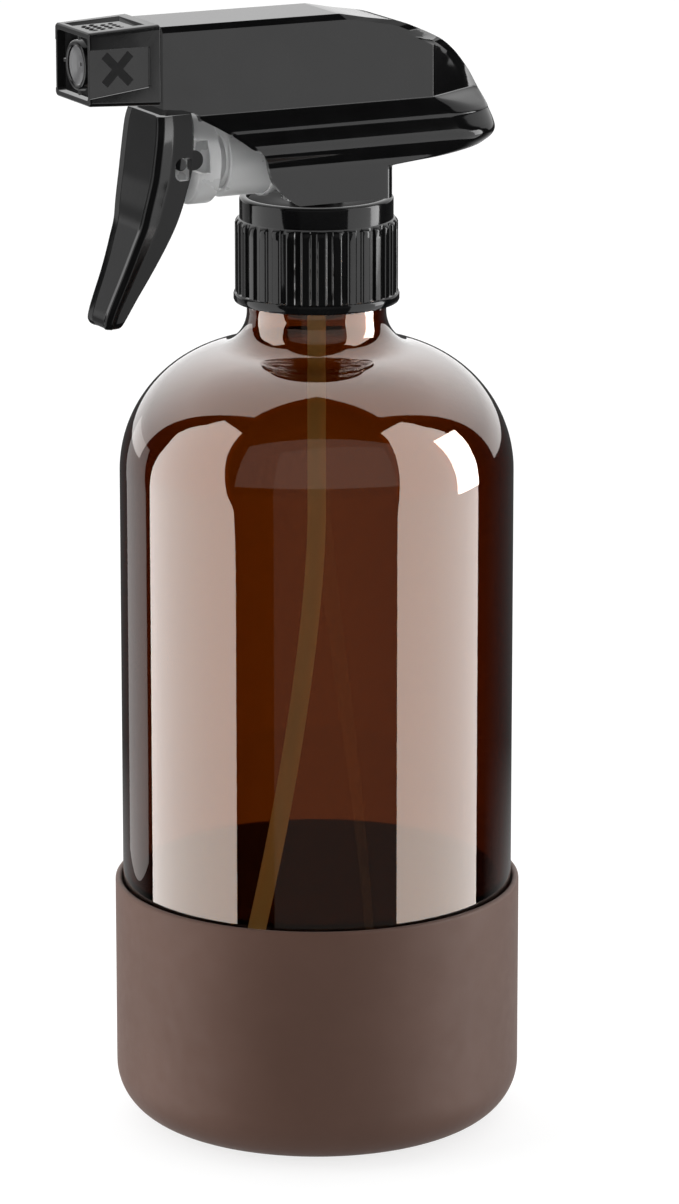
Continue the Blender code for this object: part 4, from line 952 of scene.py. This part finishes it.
def softbox(name, turn, bottom, top, half_angle, radiance, distance=1.0):
    """An upright panel that faces the bottle. It stands turn degrees to the right of the camera."""
    bearing = CAMERA_BEARING + math.radians(turn)
    width = 2.0 * distance * math.tan(math.radians(half_angle))
    data = bpy.data.lights.new(name, "AREA")
    data.shape = "RECTANGLE"
    data.size, data.size_y = width, top - bottom
    data.energy = radiance * math.pi * width * (top - bottom)
    lamp = bpy.data.objects.new(name, data)
    bpy.context.scene.collection.objects.link(lamp)
    lamp.location = (distance * math.cos(bearing), distance * math.sin(bearing), (bottom + top) / 2)
    facing = Vector((-math.cos(bearing), -math.sin(bearing), 0.0))
    lamp.rotation_euler = facing.to_track_quat("-Z", "Y").to_euler()
    lamp.visible_camera = False
    return lamp


def light_card(name, side, outline, radiance, seen_by="all", distance=1.0, level=0.14):
    """A glowing card, upright and side on to the camera.

    Its outline is given as (towards the camera, up from the shoulder).
    """
    ahead = Vector((math.cos(CAMERA_BEARING), math.sin(CAMERA_BEARING), 0.0))
    across = Vector((-math.sin(CAMERA_BEARING), math.cos(CAMERA_BEARING), 0.0)) * side * distance
    points = []
    for near, up in outline:
        points.append((across + ahead * near * distance + Vector((0.0, 0.0, level + up * distance))) / MM)
    material = bpy.data.materials.new(name)
    material.use_nodes = True
    nodes, links = material.node_tree.nodes, material.node_tree.links
    nodes.remove(nodes["Principled BSDF"])
    glow = nodes.new("ShaderNodeEmission")
    glow.inputs["Strength"].default_value = radiance
    links.new(glow.outputs["Emission"], nodes["Material Output"].inputs["Surface"])
    card = new_object(name, points, [tuple(range(len(points)))], material)
    card.visible_camera = False
    card.visible_shadow = False
    card.visible_diffuse = seen_by != "gloss"
    card.visible_glossy = seen_by != "matte"
    card.visible_transmission = seen_by != "matte"
    return card


CEILING_RADIANCE = 2.45
BELOW_RADIANCE = 0.9
CAMERA_PLACE = Vector((0.49266, 0.99786, 0.38553))
CAMERA_BEARING = math.atan2(CAMERA_PLACE.y, CAMERA_PLACE.x)


def build_camera():
    data = bpy.data.cameras.new("camera")
    data.lens = 179.4
    data.sensor_width = 36.0
    data.clip_end = 50.0
    camera = bpy.data.objects.new("camera", data)
    camera.location = CAMERA_PLACE
    camera.rotation_euler = (math.radians(75.676), 0.0, math.radians(153.5))
    bpy.context.scene.collection.objects.link(camera)
    bpy.context.scene.camera = camera


def build_world():
    """White to the camera. To everything else, a bright ceiling that starts overhead and runs down behind."""
    world = bpy.data.worlds.new("studio")
    world.use_nodes = True
    bpy.context.scene.world = world
    nodes, links = world.node_tree.nodes, world.node_tree.links
    sky = nodes.new("ShaderNodeTexCoord").outputs["Generated"]

    def along(vector):
        node = nodes.new("ShaderNodeVectorMath")
        node.operation = "DOT_PRODUCT"
        node.inputs[1].default_value = vector
        links.new(sky, node.inputs[0])
        return node.outputs["Value"]

    def maths(operation, *values):
        node = nodes.new("ShaderNodeMath")
        node.operation = operation
        for socket, value in zip(node.inputs, values):
            if isinstance(value, float):
                socket.default_value = value
            else:
                links.new(value, socket)
        return node.outputs["Value"]

    c, s = math.cos(CAMERA_BEARING), math.sin(CAMERA_BEARING)
    aside = maths("ABSOLUTE", along((-s, c, 0.0)))
    outer = maths("SUBTRACT", along((-c, -s, 0.58)), maths("MULTIPLY", aside, 0.75))
    inner = maths("ADD", along((-c, -s, -0.1)), maths("MULTIPLY", aside, 0.54))
    above = maths("ADD", along((0.0, 0.0, 1.0)), 0.03)
    inside = maths("MINIMUM", maths("MINIMUM", outer, inner), above)

    def ramp(value, start, end, least, most):
        node = nodes.new("ShaderNodeMapRange")
        for label, number in (("From Min", start), ("From Max", end), ("To Min", least), ("To Max", most)):
            node.inputs[label].default_value = number
        links.new(value, node.inputs["Value"])
        return node.outputs["Result"]

    overhead = ramp(along((0.0, 0.0, 1.0)), 0.2, 0.6, 0.6 * CEILING_RADIANCE, CEILING_RADIANCE)
    ceiling = maths("MULTIPLY", ramp(inside, 0.0, 0.01, 0.0, 1.0), overhead)
    behind = ramp(along((-c, -s, 0.0)), 0.42, 0.95, 0.0, BELOW_RADIANCE)
    below = maths("MULTIPLY", ramp(along((0.0, 0.0, -1.0)), 0.27, 0.36, 0.07, 1.0), behind)
    lit = nodes.new("ShaderNodeBackground")
    links.new(maths("ADD", maths("ADD", ceiling, below), 0.004), lit.inputs["Strength"])
    mix = nodes.new("ShaderNodeMixShader")
    links.new(nodes.new("ShaderNodeLightPath").outputs["Is Camera Ray"], mix.inputs["Fac"])
    links.new(lit.outputs["Background"], mix.inputs[1])
    links.new(nodes["Background"].outputs["Background"], mix.inputs[2])
    nodes["Background"].inputs["Color"].default_value = (1.0, 1.0, 1.0, 1.0)
    links.new(mix.outputs["Shader"], nodes["World Output"].inputs["Surface"])


def build_floor():
    recipe = Recipe("pale_floor", roughness=0.8)
    recipe.colour(recipe.noise(3.0), (0.90, 0.90, 0.90), (0.92, 0.92, 0.92))
    reach = 6000.0
    floor = new_object("floor",
                       [(-reach, -reach, 0), (reach, -reach, 0), (reach, reach, 0), (-reach, reach, 0)],
                       [(0, 1, 2, 3)], recipe.material)
    floor.visible_glossy = False
    glow = recipe.nodes.new("ShaderNodeEmission")
    glow.inputs["Strength"].default_value = 1.1
    mix = recipe.nodes.new("ShaderNodeMixShader")
    mix.inputs["Fac"].default_value = 0.3
    recipe.links.new(glow.outputs["Emission"], mix.inputs[1])
    recipe.links.new(recipe.shader.outputs["BSDF"], mix.inputs[2])
    recipe.links.new(mix.outputs["Shader"], recipe.nodes["Material Output"].inputs["Surface"])


# Outlines of the light cards, as light_card reads them. Another calculation traced them back from where the
# reflections lie in the glass, and report.md says so.
LEFT_PANEL = [(-0.42, -0.8), (-0.418, -0.276), (-0.353, 0.0), (-0.243, 0.298), (-0.225, 0.452),
              (-0.156, 0.605), (-0.019, 0.818), (0.089, 1.123), (0.313, 1.171), (0.554, 1.224),
              (0.566, 0.923), (0.607, 0.598), (0.684, 0.298), (0.774, -0.027), (0.92, -0.36), (0.92, -0.8)]
RIGHT_PANEL = [(-0.31, -0.8), (-0.308, -0.267), (-0.104, 0.567), (0.036, 0.807), (0.198, 1.226),
               (0.435, 1.34), (0.731, 1.448), (0.72, 1.118), (0.783, 0.706), (0.855, 0.307), (0.903, -0.012),
               (0.93, -0.36), (0.93, -0.8)]
WINDOW = [(0.033, -0.176), (0.055, 0.1), (0.08, 0.3), (0.13, 0.559), (-0.246, 0.502), (-0.275, 0.29),
          (-0.287, 0.1), (-0.294, -0.147)]


def build_studio():
    light_card("left_panel", -1.0, LEFT_PANEL, 4.0)
    light_card("right_panel", 1.0, RIGHT_PANEL, 4.0, "gloss")
    light_card("right_panel_on_matte", 1.0, RIGHT_PANEL, 2.2, "matte")
    light_card("window", 1.0, WINDOW, 14.0, "gloss", distance=0.95)
    softbox("right_fill", 11.2, -0.8, 1.1, 35.8, 0.12)
    softbox("front_fill", 3.0, 0.28, 1.42, 51.0, 0.3)
    softbox("left_rear_fill", -131.0, -0.25, 0.24, 14.0, 0.5)
    bpy.context.scene.view_settings.view_transform = "Standard"


# ---- assembly


build_glass()
build_boot()
build_closure()
build_gasket()
build_insert()
build_dip_tube()
build_pump()
build_piston()
build_shroud()
build_nozzle()
build_trigger()

for node, material in (("inlet_ball", STEEL), ("ball_retainer", NATURAL), ("piston_seal", ELASTOMER),
                       ("vent_seal", ELASTOMER), ("piston_spring", STEEL), ("outlet_valve", ELASTOMER),
                       ("outlet_spring", STEEL), ("swirl_plug", NATURAL)):
    for material_slot in frame["nodes"][node].material_slots:
        material_slot.material = material

# Only these show in reflections. The other pieces would darken the glass shoulder and each other.
REFLECTED = ("glass_shell", "boot_sleeve", "dip_hose", "tube_insert")
for piece in bpy.data.objects:
    if piece.type == "MESH" and piece.name not in REFLECTED:
        piece.visible_glossy = False

build_camera()
build_world()
build_floor()
build_studio()
